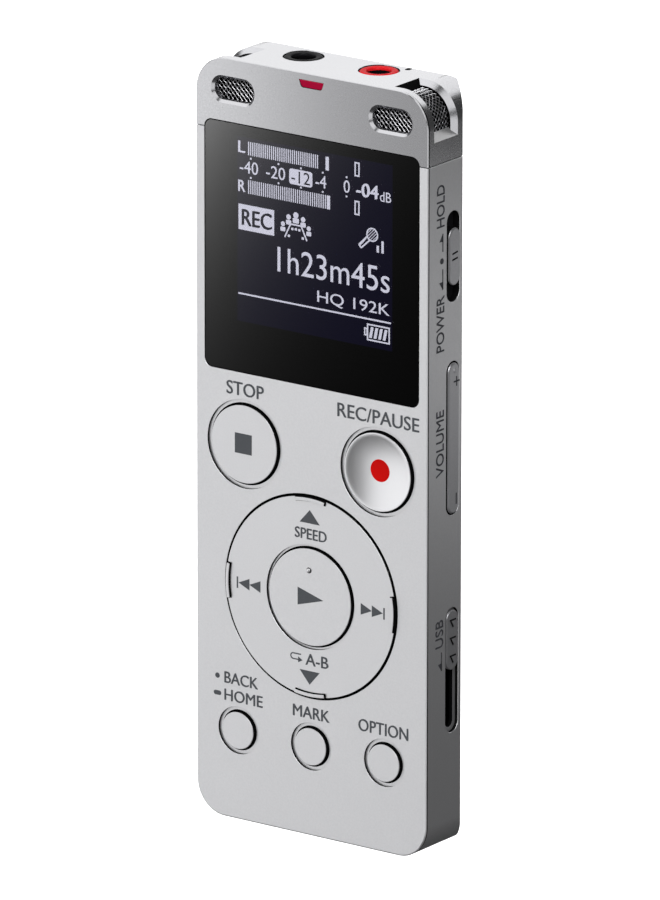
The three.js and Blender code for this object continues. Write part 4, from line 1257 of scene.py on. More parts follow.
    def grille(self, hand: Hand, weave: Repeat) -> None:
        """One side's wire mesh: a flat panel behind the window and a band round inside the corner."""
        name = hand.name.lower()
        r = self.case.top_radius - self.mesh_inset
        cu, cv = HALF_WIDTH - self.case.top_radius, HEIGHT - self.case.top_radius
        length = cv - self.opening_z + 0.4 + math.pi / 2 * r + cu - self.opening_x + 0.1
        front, back = 1.75, 7.1
        middle = [(hand * u, FRONT_Y + (front + back) / 2, v) for u, v in self._offset_path(0.0)]
        mesh = {"Wire": self.mesh_wire, "Pitch": self.mesh_pitch, "Material": material(WOVEN_WIRE)}
        band = weave.run(polyline(middle), Length=length, Width=back - front, Across=(0.0, 1.0, 0.0),
                         Outward=float(hand), **mesh)
        x, z, width, height = self.window
        panel_half = width / 2 + 0.2
        flat = polyline([(hand * x - panel_half, FRONT_Y + 1.5, z), (hand * x + panel_half, FRONT_Y + 1.5, z)])
        panel = weave.run(flat, Length=2 * panel_half, Width=height + 0.4, Across=(0.0, 0.0, 1.0), Outward=1.0,
                          **mesh)
        cloth_out = [(hand * u, v) for u, v in self._offset_path(0.16)]
        cloth_in = [(hand * u, v) for u, v in self._offset_path(0.26)]
        cloth = prism(FRONT, cloth_out + cloth_in[::-1], 1.7, 7.15, POLISHED)
        sheet = block(hand * x - panel_half, hand * x + panel_half, 1.68, 1.78, z - height / 2 - 0.2,
                      z + height / 2 + 0.2, POLISHED)
        both = bmesh.new()
        for part in (Solid(band).painted(MAIN), Solid(panel).painted(MAIN), cloth, sheet):
            both.from_mesh(part.mesh)
        whole = bpy.data.meshes.new("grille")
        both.to_mesh(whole)
        both.free()
        settle("wire_mesh_" + name, Solid(with_zones(whole)), "case", [WOVEN_WIRE, DUST_CLOTH_AND_SHADE],
               ["mic_grille_" + name], sharp=50)

    def _offset_path(self, inward: float) -> Ring:
        """The corner path of the mesh, moved further inwards."""
        wide = self.case.top_radius - self.mesh_inset - inward
        tall = self.case.top_radius - self.mesh_top_inset - inward
        cu, cv = HALF_WIDTH - self.case.top_radius, HEIGHT - self.case.top_radius
        corner = [(cu + wide * u, cv + tall * v) for u, v in arc(0, 0, 1.0, 0, 90, 24)]
        return [(cu + wide, self.opening_z - 0.4), *corner, (self.opening_x - 0.1, cv + tall)]

    def jack(self, hand: Hand, node: str, finish: Finish) -> None:
        """One jack's ring: a rounded collar with a bore."""
        inner, outer, top = self.jack_bore, self.jack_ring, HEIGHT
        lip = 0.45
        profile = [(outer, top - 1.0), *arc(outer - lip, top - lip, lip, 0, 90, 6), (inner + 0.26, top - 0.03),
                   *arc(inner + 0.2, top - 0.24, 0.2, 90, 180, 6), (inner, top - 0.42), (inner, top - 1.0)]
        # The bore's wall is painted black as the shade down the bore.
        zones = [MAIN] * (len(profile) - 2) + [INSIDE] * 2
        collar = turned(END, (self.jack_places[hand > 0], self.jack_depth), profile, ring=True, zones=zones)
        settle(node + "_collar", collar, "case", [finish, finish, BLACK_INSIDE_AND_PAINTED_SHADE], [node], sharp=40)


@dataclass
class Display:
    """The window, the display behind it and what it shows."""

    case: Case
    fit: float = 0.1
    face: float = 0.05
    thick: float = 0.75
    glass_depth: float = 1.25
    shift: Point = (-0.6, -0.3)

    def build(self, rows: Repeat) -> Object:
        """Makes the window, its black print, the display and the picture on it.

        Args:
            rows: the tree that makes the bars of the level meters.

        Returns:
            The window.
        """
        left, right, bottom, top = self.case.window
        f = self.fit
        ring = shrinking(left + f, right - f, bottom + f, top - f, self.case.window_radius - f)
        back = self.face + self.thick
        pane = stepped(FRONT, ring,
                       [(self.face, 0.03), (self.face + 0.03, 0), (back - 0.02, 0), (back, 0.02)])
        piece = settle("window_pane", pane, "case", [SMOKED_ACRYLIC], ["display_window"])
        sight = rounded(-13.4, 13.4, 66.6, 92.6, 0.2)
        border = prism(FRONT, ring(0.03), back + 0.005, back + 0.045)
        border = border.cut(prism(FRONT, sight, 0, 3))
        settle("window_border_print", border, "case", [WINDOW_PRINT])
        lo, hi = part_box("oled_panel")
        panel = softened(lo.x / MM, hi.x / MM, self.glass_depth, hi.y / MM - FRONT_Y, lo.z / MM, hi.z / MM)
        settle("display_panel", panel, "case", [DISPLAY_GLASS], ["oled_panel"])
        ground = block(-12.4, 12.1, self.glass_depth - 0.012, self.glass_depth + 0.01, 67.1, 91.7)
        settle("display_ground", ground, "case", [DISPLAY_GROUND])
        self.picture(rows)
        return piece

    def picture(self, rows: Repeat) -> None:
        """Draws the level meters, the mode, the time and the battery."""
        lit = Lettering(FRONT, self.glass_depth - 0.012, -1, thick=0.03)
        shade = Lettering(FRONT, self.glass_depth - 0.042, -1, thick=0.01, sunk=0.005)
        for letter, z in (("L", 89.9), ("R", 84.7)):
            lit.word(letter, -11.65, -10.6, z, z + 1.5, bold=0.07)
        depth_y = FRONT_Y + self.glass_depth - 0.01
        for z, end, peak in ((90.6, 1.15, 2.2), (85.5, 2.4, 2.4)):
            count = round((end + 10.1) / 0.335)
            bars = rows.run(polyline([(0, 0, 0), (0, 0, 1)]), Count=count, First=(-10.0, depth_y, z),
                            Stride=((end + 10.1) / count, 0.0, 0.0), Size=(0.155, 0.04, 1.8))
            lit.add(bars)
            lit.fill(peak, peak + 0.5, z - 0.9, z + 0.9)
            lit.frame(6.75, 7.55, z - 0.95, z + 0.95, 0.2)
        for x in (-9.65, -5.25, -1.7, 1.75, 5.5):
            for z in (89.3, 86.75):
                lit.fill(x - 0.12, x + 0.12, z - 0.12, z + 0.12)
        for text, low, high in (("-40", -11.4, -8.5), ("-20", -7.2, -4.2), ("-4", 0.6, 2.3), ("0", 5.05, 6.0)):
            lit.word(text, low, high, 87.25, 88.9)
        lit.sign(*rounded(-3.55, 0.1, 87.0, 89.05, 0.35, steps=4))
        shade.word("-12", -3.2, -0.25, 87.25, 88.85)
        lit.word("-04", 7.0, 10.4, 87.1, 88.9, bold=0.14)
        lit.word("dB", 10.75, 12.5, 87.0, 88.3)
        lit.fill(-11.6, -5.95, 79.65, 83.05)
        shade.word("REC", -11.1, -6.4, 80.25, 82.4, bold=0.15)
        self.meeting(lit, -2.5, 79.7)
        self.microphone(lit)
        lit.word("1h23m45s", -5.4, 12.3, 75.0, 78.35)
        lit.word("HQ 192K", 0.9, 12.3, 71.75, 73.55)
        lit.fill(-11.65, 12.5, 71.0, 71.22)
        self.battery(lit)
        for made, name, finish in ((lit, "display_picture", DISPLAY_LIT),
                                   (shade, "display_dark_signs", DISPLAY_GROUND)):
            solid = made.solid()
            solid.mesh.transform(Matrix.Translation((self.shift[0], 0, self.shift[1])))
            settle(name, solid, "case", [finish])

    @staticmethod
    def meeting(lit: Lettering, x: float, z: float) -> None:
        """A sign of five plain figures round a table."""
        for dx, dz, size in ((0, 2.95, 0.42), (-1.15, 2.55, 0.36), (1.15, 2.55, 0.36), (-2.05, 1.5, 0.33),
                             (2.05, 1.5, 0.33)):
            lit.sign(*circle(x + dx, z + dz + 0.3, size, 10))
            lit.sign(*rounded(x + dx - size * 1.15, x + dx + size * 1.15, z + dz - 1.0 * size - 0.35, z + dz - 0.1,
                              0.14, steps=3))
        table = [(x - 1.75, z + 0.1), (x - 0.85, z + 1.95), (x + 0.85, z + 1.95), (x + 1.75, z + 0.1)]
        lit.stroke(table, 0.2)
        for dx, dz in ((-1.1, 0.35), (-0.55, 1.35), (0.0, 1.4), (0.55, 1.35), (1.1, 0.35)):
            lit.sign(*rounded(x + dx - 0.18, x + dx + 0.18, z + dz - 0.16, z + dz + 0.16, 0.08, steps=3))

    @staticmethod
    def microphone(lit: Lettering) -> None:
        """A hand microphone with a wire head, and two level bars."""
        x, z = 9.55, 82.35
        lit.stroke(arc(x, z, 0.85, 0, 360, 20), 0.17)
        for i in range(-2, 3):
            reach = 0.7 * math.sqrt(max(0.0, 0.75 ** 2 - (i * 0.3) ** 2))
            off = i * 0.21
            lit.bar((x + off - reach, z - off - reach), (x + off + reach, z - off + reach), 0.09)
        lit.stroke([(8.75, 82.0), (7.45, 80.75), (7.8, 80.35), (9.2, 81.6)], 0.2)
        lit.stroke([(8.6, 81.75), (7.6, 80.6)], 0.12)
        lit.fill(10.25, 10.6, 80.15, 81.05)
        lit.fill(11.0, 11.35, 80.15, 81.75)

    @staticmethod
    def battery(lit: Lettering) -> None:
        """A full battery with slanting bars, its terminal to the left."""
        lit.frame(8.75, 12.35, 68.25, 70.5, 0.2)
        lit.frame(8.3, 8.85, 68.85, 69.9, 0.18)
        for i in range(4):
            x = 9.3 + i * 0.72
            lit.sign((x - 0.22, 68.65), (x + 0.2, 68.65), (x + 0.5, 70.1), (x + 0.08, 70.1))


SIDE_KNOB_DEPTH = 5.6
SIDE_KNOB_WIDTH = 2.4
SIDE_KNOB_FINISHES = (KNOB_LACQUER, CUT_ALUMINIUM, BLACK_INSIDE_AND_PAINTED_SHADE)


@dataclass
class Controls:
    """Every key on the front and every knob on the right side.

    Attributes:
        large, small: a round key's middle, the radius of its hole and the radius of its cap.
        ring_z: the height of the direction ring's middle.
        ring_hole, ring_outer, ring_inner: the radii of its hole, its edge and its bore.
        play_radius: the play key's.
        hold, volume: a knob's middle, the length of its slot and its own length.
    """

    large: tuple[float, float, float, float] = (10.6, 51.0, 5.49, 5.22)
    small: tuple[float, float, float, float] = (11.65, 12.1, 2.74, 2.5)
    ring_z: float = 32.35
    ring_hole: float = 13.75
    ring_outer: float = 13.41
    ring_inner: float = 6.75
    play_radius: float = 6.5
    hold: tuple[float, float, float] = (79.7, 12.05, 7.6)
    volume: tuple[float, float, float] = (55.55, 20.5, 20.1)

    def holes(self) -> list[tuple[float, float, float, bool]]:
        """Each round hole in the front: x, z, radius and whether it has a ledge."""
        x, z, hole, _ = self.large
        sx, sz, small_hole, _ = self.small
        large = [(side * x, z, hole, True) for side in (-1, 1)]
        small = [(side * sx, sz, small_hole, True) for side in (-1, 0, 1)]
        return [*large, (0.0, self.ring_z, self.ring_hole, False), *small]

    def side_slots(self) -> list[tuple[float, float]]:
        """Each slot in the right side: its middle and its length."""
        return [self.hold[:2], self.volume[:2]]

    def build(self) -> None:
        """Makes the keys, the ring and the side controls."""
        x, z, _, cap = self.large
        finish = [KEY_LACQUER, CUT_ALUMINIUM, BLACK_INSIDE_AND_PAINTED_SHADE]
        self.key("stop_key_cap", "stop_button", "stop_key", (-x, z), cap, proud=0.15, flange=6.3, finish=finish)
        self.key("rec_key_cap", "rec_button", "rec_key", (x, z), cap, proud=0.15, flange=6.3,
                 finish=[DISH_LACQUER, *finish[1:]], dish=0.62)
        sx, sz, _, small_cap = self.small
        for name, side in (("back", -1), ("mark", 0), ("option", 1)):
            self.key(f"{name}_key_cap", f"{name}_button", f"{name}_key", (side * sx, sz), small_cap, proud=0.16,
                     flange=3.3, finish=finish, post=1.0)
        self.direction_ring(finish)
        self.play(finish)
        self.hold_knob()
        self.volume_rocker()

    @staticmethod
    def key(name: str, node: str, body: str, centre: Point, cap: float, proud: float, flange: float,
            finish: Sequence[Finish], dish: float = 0.0, post: float = 1.5) -> None:
        """A round key with a rounded rim, a retaining flange and a post."""
        edge = 0.06
        face: list[Point] = [(0.0, -proud), (cap - edge - 0.03, -proud)]
        if dish:
            reach = cap - 0.17
            face = [(reach * i / 14, dish * (1 - (i / 14) ** 2) - proud) for i in range(15)]
        sides = rim(cap, -proud, edge)
        base = [(cap, 1.3), (flange, 1.3), (flange, 1.8), (post, 1.8), (post, 2.55), (0.0, 2.55)]
        profile = [*face, *sides, *base]
        # The cap's side below its rim, the flange and the post are painted black as the shade in the gap round the
        # key.
        zones = [MAIN] * (len(face) + len(sides) - 1) + [INSIDE] * (len(base))
        solid = turned(FRONT, centre, profile, zones=zones, steps=128 if cap > 4 else 80)
        settle(name, solid, body, finish, [node])

    def direction_ring(self, finish: Sequence[Finish]) -> None:
        """The direction ring: a flat ring with four grip bars, flange and posts."""
        inner, outer, z = self.ring_inner, self.ring_outer, self.ring_z
        face = -0.13
        profile = [(inner, face + 0.3), (inner + 0.02, face + 0.28), (inner + 0.27, face + 0.28),
                   (inner + 0.27, face + 0.02), (inner + 0.29, face), (outer - 0.015, face), (outer, face + 0.015),
                   (outer, 1.75), (14.2, 1.75), (14.2, 2.1), (12.9, 2.1), (12.9, 1.3), (inner, 1.3)]
        # The step in the bore and the ring's outer side are painted black as the shade in the gaps.
        zones = [MAIN, MAIN, INSIDE, *[MAIN] * 3, *[INSIDE] * 7]
        ring = turned(FRONT, (0, z), profile, steps=192, zones=zones, ring=True)
        half = 10.2
        bars, pockets = [], []
        for quarter in (0, 90, 180, 270):
            def outline(inset: float) -> Ring:
                """One grip bar's outline brought in by inset."""
                spread = half - math.degrees(inset / outer)
                return [*arc(0, z, outer - 0.04 - inset, quarter - spread, quarter + spread, 16),
                        *arc(0, z, 12.92 + inset, quarter + spread, quarter - spread, 16)]
            # The pocket round each bar is painted black as the shade in a gap round it, and the bars' side walls
            # as their shade.
            pockets.append(prism(FRONT, outline(-0.11), face - 1.0, face + 0.3, INSIDE))
            bars.append(stepped(FRONT, outline, [(-0.46, 0.05), (-0.45, 0.02), (-0.42, 0), (0.5, 0)],
                                [MAIN, MAIN, INSIDE]))
        posts = [drum(11 * math.cos(t), z + 11 * math.sin(t), 1.0, 2.55, 0.9, steps=20, zone=INSIDE)
                 for t in (math.radians(q) for q in (0, 90, 180, 270))]
        settle("direction_ring_cap", ring.cut(*pockets).join(*bars, *posts), "nav_key", finish,
               ["nav_ring"])

    def play(self, finish: Sequence[Finish]) -> None:
        """The play key in the middle of the ring, with a raised dot to feel."""
        cap, z, proud = self.play_radius, self.ring_z, 0.25
        base = [(cap, 1.6), (7.05, 1.6), (7.05, 2.0), (1.5, 2.0), (1.5, 2.55), (0.0, 2.55)]
        sides = rim(cap, -proud, 0.06)
        # The key's side below its rim is painted black as the shade in the gap round it.
        zones = [MAIN] * len(sides) + [INSIDE] * len(base)
        body = turned(FRONT, (0, z), [(0.0, -proud), (cap - 0.1, -proud), *sides, *base],
                      zones=[MAIN, *zones], steps=128)
        # The dot's lower flank is painted black as its shade.
        nib = turned(FRONT, (-0.15, 35.95), [(0.0, -proud - 0.22), (0.2, -proud - 0.2), (0.3, -proud - 0.14),
                                                   (0.4, -proud), (0.4, 0.2), (0.0, 0.2)],
                     steps=32, zones=[MAIN, MAIN, *[INSIDE] * 3])
        settle("play_key_cap", body.join(nib), "play_key", finish, ["play_button"])

    def hold_knob(self) -> None:
        """The hold and power slider, with two small grip bars across it."""
        z, _, length = self.hold
        outer = HALF_WIDTH + 0.28
        knob = stepped(SIDE, partial(slot, SIDE_KNOB_DEPTH, z, SIDE_KNOB_WIDTH, length),
                       [(HALF_WIDTH - 1.05, 0), (outer - 0.22, 0), (outer - 0.07, 0.06), (outer, 0.2)],
                       [INSIDE, MAIN, MAIN])
        mark = [(5.0, -0.2), (6.2, -0.05), (6.2, 0.2), (5.0, 0.05)]
        # The marks' walls are painted black as their shade.
        cuts = [prism(SIDE, [(u, z + dz + v) for u, v in mark], outer - 0.15, outer + 1, INSIDE)
                for dz in (0.5, -0.3)]
        settle("hold_slider_knob", knob.cut(*cuts), "hold_slider", SIDE_KNOB_FINISHES, ["hold_knob"])

    def volume_rocker(self) -> None:
        """The long volume rocker, with a raised dot by its upper sign."""
        z, _, length = self.volume
        outer = HALF_WIDTH + 0.24
        bar = stepped(SIDE, partial(slot, SIDE_KNOB_DEPTH, z, SIDE_KNOB_WIDTH, length),
                      [(HALF_WIDTH - 1.5, 0), (outer - 0.24, 0), (outer - 0.08, 0.07), (outer, 0.22)],
                      [INSIDE, MAIN, MAIN])
        flange = prism(SIDE, slot(SIDE_KNOB_DEPTH, z, 3.2, 21.6), HALF_WIDTH - 1.8, HALF_WIDTH - 1.35,
                       INSIDE)
        nib = stack(SIDE, [(outer + rise, circle(5.75, z + 9.0, radius, 24))
                                 for rise, radius in ((-0.1, 0.36), (0.03, 0.3), (0.05, 0.2))])
        posts = [prism(SIDE, circle(SIDE_KNOB_DEPTH, z + end * 8.6, 0.6, 16), 15.95, HALF_WIDTH - 1.7,
                       INSIDE) for end in (-1, 1)]
        settle("volume_rocker_bar", bar.join(flange, nib, *posts), "volume_key", SIDE_KNOB_FINISHES,
               ["volume_rocker"])


@dataclass
class Plug:
    """The slide-out plug and its slider on the right side.

    Attributes:
        slot_middle, slot_length, throat: the slot in the side, and the width of the slit in it.
        knob_top, knob_length: the slider's knob.
        x: the middle of the plug's width.
        front: how far behind the front its metal shell starts.
        tip, back: the two ends of the metal shell.
    """

    slot_middle: float = 24.5
    slot_length: float = 16.8
    throat: float = 1.7
    knob_top: float = 32.6
    knob_length: float = 8.1
    x: float = 7.0
    front: float = 4.2
    tip: float = 0.3
    back: float = 19.8

    def build(self) -> None:
        """Makes the slider, the carrier, the metal shell and what is in it."""
        z = self.knob_top - self.knob_length / 2
        outer = HALF_WIDTH + 0.1
        knob = stepped(SIDE, partial(slot, SIDE_KNOB_DEPTH, z, SIDE_KNOB_WIDTH, self.knob_length),
                       [(HALF_WIDTH - 0.4, 0), (outer - 0.2, 0), (outer - 0.06, 0.06), (outer, 0.18)])
        stem = block(16, HALF_WIDTH, 4.85, 6.35, z - 3, z + 3, INSIDE)
        grips = []
        for dz in (2.25, -0.15, -2.55):
            base = [(4.95, z + dz + 0.55), (6.35, z + dz + 0.55), (5.65, z + dz - 0.65)]
            peak = [(5.15, z + dz + 0.4), (6.15, z + dz + 0.4), (5.65, z + dz - 0.4)]
            # The grips' side walls are painted black as their shade.
            grips.append(stack(SIDE, [(outer - 0.1, base), (outer, base), (HALF_WIDTH + 0.28, peak)],
                               [INSIDE, INSIDE]))
        settle("plug_slider_knob", knob.join(stem, *grips), "usb_plug", SIDE_KNOB_FINISHES,
               ["usb_knob"])
        carrier = softened(0.7, 13.3, 4.05, 9.3, 20.0, 34.0, 0.3)
        arm = block(12.3, 16.0, 4.6, 6.6, z - 3.2, z + 3.2)
        settle("plug_carrier_moulding", carrier.join(arm), "usb_plug", [BLACK_NYLON],
               ["usb_carrier"])
        self.metal_shell()
        tongue = softened(self.x - 5.6, self.x + 5.6, self.front + 0.35, self.front + 2.15, self.tip + 0.9,
                          self.back - 0.35, 0.1)
        settle("plug_tongue_moulding", tongue, "usb_plug", [BLACK_NYLON], ["usb_tongue"])
        for number, dx in enumerate((-3.5, -1.0, 1.0, 3.5), 1):
            low, high = self.x + dx - 0.5, self.x + dx + 0.5
            strip = softened(low, high, self.front + 2.15, self.front + 2.3, self.tip + 1.6, self.tip + 9.0, 0.04)
            settle(f"plug_contact_strip_{number}", strip, "usb_plug", [GOLD_PLATE],
                   [f"usb_contact_{number}"])

    def metal_shell(self) -> None:
        """The folded metal shell with its latch windows and a rolled seam."""
        back = self.front + 4.5
        ring = shrinking(self.x - 6, self.x + 6, self.front, back, 0.5, steps=6)
        outside = stepped(END, ring, [(self.tip, 0.12), (self.tip + 0.15, 0), (self.back, 0)])
        inside = prism(END, ring(0.3), self.tip - 1, self.back - 0.3)
        windows = [block(self.x + s * 2.6 - 1.1, self.x + s * 2.6 + 1.1, 0, 12, self.tip + 4.7, self.tip + 6.7)
                   for s in (-1, 1)]
        # The seam's walls are painted black as its shade.
        seam = block(self.x - 0.04, self.x + 0.04, back - 0.15, 12, self.tip - 1, self.back + 1, INSIDE)
        settle("plug_metal_shell", outside.cut(inside, *windows, seam), "usb_plug",
               [NICKEL_STEEL, NICKEL_STEEL, BLACK_INSIDE_AND_PAINTED_SHADE], ["usb_shell"])


@dataclass
class Loudspeaker:
    """The loudspeaker's hole pattern and cone."""

    pins: Repeat
    x: float = -8.2
    z: float = 20.0
    pitch: float = 1.7
    rings: int = 2
    hole: float = 0.5

    def places(self) -> Ring:
        """The centre of each hole."""
        spots = [(self.x, self.z)]
        for number in range(1, self.rings + 1):
            spots += circle(self.x, self.z, number * self.pitch, 6 * number)
        return spots

    def hole_cutter(self) -> Solid:
        """Pins that cut the holes through the back."""
        mesh = bpy.data.meshes.new("places")
        mesh.from_pydata([(x, FRONT_Y + BACK_DEPTH - 0.5, z) for x, z in self.places()], [], [])
        made = self.pins.run(mesh, Radius=self.hole, Depth=3.0)
        # The holes' walls are painted black as their shade.
        return Solid(with_zones(made)).painted(INSIDE)

    def build(self) -> None:
        """The loudspeaker with its rolled surround and dome."""
        roll = [(5.35 + 0.45 * u, 9.15 - 0.2 * v) for u, v in arc(0, 0, 1, 0, 180, 6)]
        dome = [(2.2 * u, 8.4 + 0.5 * v) for u, v in arc(0, 0, 1, 18, 72, 3)]
        profile = [(0, 6.6), (6.5, 6.6), (6.5, 9.2), (5.9, 9.2), *roll, (2.3, 8.4), (2.2, 8.45), *dome, (0, 8.9)]
        cone = turned(FRONT, (self.x, self.z), profile, steps=64)
        settle("speaker_unit", cone, "case", [SPEAKER_CONE], ["speaker"], sharp=35)


@dataclass
class CardCover:
    """The cover of the card slot on the left side, with a nail nick."""

    front: float = 3.0
    back: float = 6.2
    bottom: float = 61.5
    top: float = 77.0

    def build(self) -> None:
        """Makes the cover."""
        out = -HALF_WIDTH
        plate = stepped(SIDE, shrinking(self.front, self.back, self.bottom, self.top, 1.2),
                        [(out, 0.08), (out + 0.08, 0), (out + 0.75, 0)])
        mouth = slot(4.6, self.top - 0.85, 1.6, 1.62)
        floor = slot(4.6, self.top - 0.7, 1.0, 1.02)
        nick = stack(SIDE, [(out - 1, mouth), (out, mouth), (out + 0.35, floor)])
        settle("card_slot_cover", plate.cut(nick), "card_door", [SILVER_LACQUER, CUT_ALUMINIUM],
               ["card_cover"])


@dataclass
class Printing:
    """The words and signs printed on the front and the right side."""

    controls: Controls

    def build(self) -> None:
        """Prints the case, each key and the side."""
        self.front()
        self.key_signs()
        self.side()

    @staticmethod
    def front() -> None:
        """The labels on the front case."""
        ink = Lettering(FRONT, 0.0, -1)
        ink.word("STOP", -13.5, -7.6, 57.4, 59.2, bold=0.07)
        ink.word("REC/PAUSE", 4.15, 17.0, 57.35, 59.2, bold=0.07)
        ink.word("BACK", -13.9, -8.55, 18.2, 19.75, bold=0.07)
        ink.word("HOME", -13.9, -7.8, 15.85, 17.4, bold=0.07)
        ink.word("MARK", -2.9, 2.9, 15.85, 17.4, bold=0.07)
        ink.word("OPTION", 7.55, 15.4, 15.75, 17.4, bold=0.07)
        ink.sign(*circle(-15.0, 19.0, 0.36, 20))
        ink.sign(*rounded(-15.6, -14.4, 16.35, 16.95, 0.28, steps=6))
        settle("front_labels", ink.solid(), "case", [GREY_INK])

    def key_signs(self) -> None:
        """The signs on the keys, each riding on its own key."""
        stop = Lettering(FRONT, -0.15, -1)
        stop.fill(-12.05, -9.35, 49.72, 52.42)
        settle("stop_sign", stop.solid(), "stop_key", [GREY_INK])
        dot = turned(FRONT, (10.62, 51.1),
                     [(0.0, 0.45), (0.75, 0.44), (1.5, 0.395), (1.5, 0.55), (0.0, 0.58)], steps=64)
        settle("rec_dot", dot, "rec_key", [RED_INK])
        play = Lettering(FRONT, -0.25, -1)
        play.sign((-1.95, 31.05), (2.15, 32.25), (-1.95, 33.45))
        settle("play_sign", play.solid(), "play_key", [GREY_INK])
        ring = Lettering(FRONT, -0.13, -1)
        ring.sign((-1.72, 42.25), (1.48, 42.25), (-0.12, 44.05))
        ring.sign((-1.72, 22.35), (-0.12, 20.5), (1.48, 22.35))
        ring.word("SPEED", -2.5, 2.5, 40.05, 41.5, bold=0.07)
        ring.word("A-B", -0.8, 2.8, 23.1, 24.65, bold=0.07)
        ring.stroke([(-1.5, 24.35), (-2.75, 24.35), *arc(-2.75, 23.97, 0.38, 90, 270, 8), (-1.9, 23.59)], 0.17)
        ring.sign((-1.95, 23.2), (-1.25, 23.6), (-1.95, 24.0))
        middle = 32.25
        for side in (-1, 1):
            points = [8.0, 9.75, 11.5]
            for near, far in zip(points, points[1:]):
                ring.sign((side * near, middle - 0.78), (side * far, middle), (side * near, middle + 0.78))
            ring.bar((side * 11.68, middle - 0.78), (side * 11.68, middle + 0.78), 0.22)
        settle("direction_signs", ring.solid(), "nav_key", [GREY_INK])

    def side(self) -> None:
        """The labels on the right side, which read upwards."""
        ink = Lettering(SIDE, HALF_WIDTH, 1)
        for text, low, high in (("HOLD", 84.1, 89.7), ("POWER", 67.6, 75.0), ("VOLUME", 51.0, 59.8),
                                ("USB", 28.1, 31.8)):
            ink.word(text, 1.95, 3.6, low, high, bold=0.05, upright=False)
        ink.sign(*circle(3.1, 79.6, 0.4, 20))
        for low, high, point in ((80.8, 83.2, 1), (75.8, 78.5, -1), (24.9, 27.4, -1)):
            self.half_arrow(ink, 3.3, low, high, point)
        settle("side_labels", ink.solid(), "case", [SHADED_SIDE_INK])
        rocker = Lettering(SIDE, HALF_WIDTH + 0.24, 1)
        rocker.bar((5.45, 63.1), (6.75, 63.1), 0.22)
        rocker.bar((6.1, 62.45), (6.1, 63.75), 0.22)
        rocker.bar((6.1, 46.7), (6.1, 48.2), 0.24)
        settle("volume_signs", rocker.solid(), "volume_key", [SHADED_SIDE_INK])

    @staticmethod
    def half_arrow(ink: Lettering, depth: float, low: float, high: float, point: int) -> None:
        """A thin arrow along the side with a barb on its front side only."""
        tip, tail = (high, low) if point > 0 else (low, high)
        ink.bar((depth, tail), (depth, tip), 0.2)
        ink.sign((depth, tip), (depth - 0.75, tip - point * 1.0), (depth, tip - point * 1.05))


@dataclass
class Inside:
    """What is closed in the case: the CAD pieces keep their shapes and take real finishes."""

    def build(self) -> None:
        """Dresses each remaining CAD node."""
        by_finish: dict[Finish, list[str]] = {
            BLACK_NYLON: ["display_holder", "nav_gimbal", "hold_slide_plate", "headphone_socket", "mic_socket"],
            NICKEL_STEEL: ["hold_switch", "volume_switch_up", "volume_switch_down", "mic_capsule_left",
                           "mic_capsule_right", "card_socket", "board_screw_1", "board_screw_2", "board_screw_3",
                           "board_screw_4"],
            POLYESTER_FILM: ["dome_sheet", "operation_led"],
            SOLDER_MASK: ["main_board"],
            SILICONE: ["mic_boot_left", "mic_boot_right", "battery_pad", "speaker_gasket"],
            FOIL_POUCH: ["battery_pack"],
            CHIP_EPOXY: ["main_chip", "memory_chip"],
        }
        for finish, names in by_finish.items():
            for name in names:
                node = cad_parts[name]
                node.data.materials.clear()
                node.data.materials.append(material(finish))
        for number, x in enumerate((-13, 13), 1):
            self.screw(number, x)

    @staticmethod
    def screw(number: int, x: float) -> None:
        """A small crosshead screw in the back."""
        z = 41.5
        profile = [(0, 5.0), (0.55, 5.0), (0.65, 5.2), (0.65, 9.8), (1.3, 9.8), (1.3, 10.12), (1.1, 10.3),
                   (0, 10.35)]
        body = turned(FRONT, (x, z), profile, steps=48)
        arms = []
        for across, up in ((0.75, 0.16), (0.16, 0.75)):
            top = [(x - across, z - up), (x + across, z - up), (x + across, z + up), (x - across, z + up)]
            low = [(x + (u - x) * 0.6, z + (v - z) * 0.6) for u, v in top]
            # The cross recess is painted black as its shade.
            arms.append(stack(FRONT, [(9.95, low), (10.36, top), (11.0, top)], [INSIDE, INSIDE], INSIDE))
        settle(f"case_screw_head_{number}", body.cut(*arms), "case",
               [NICKEL_STEEL, NICKEL_STEEL, BLACK_INSIDE_AND_PAINTED_SHADE], [f"case_screw_{number}"])


# ---------- studio ----------


WINDOW_PIECES = ("window_pane", "window_border_print", "display_panel", "display_ground", "display_picture",
                 "display_dark_signs")
HEAD = ("head_shell",)
INSETS = ("operation_lens_moulding", "rec_dot")
COLLARS = ("headphone_ring_collar", "mic_ring_collar")
GRILLES = ("wire_mesh_left", "wire_mesh_right")
SQUARE = ((-1, -1), (1, -1), (1, 1), (-1, 1))


def direction(azimuth: float, elevation: float) -> Vector:
    """The unit vector at those angles in degrees; azimuth 0 is in front of the recorder."""
    a, e = math.radians(azimuth), math.radians(elevation)
    return Vector((math.sin(a) * math.cos(e), -math.cos(a) * math.cos(e), math.sin(e)))


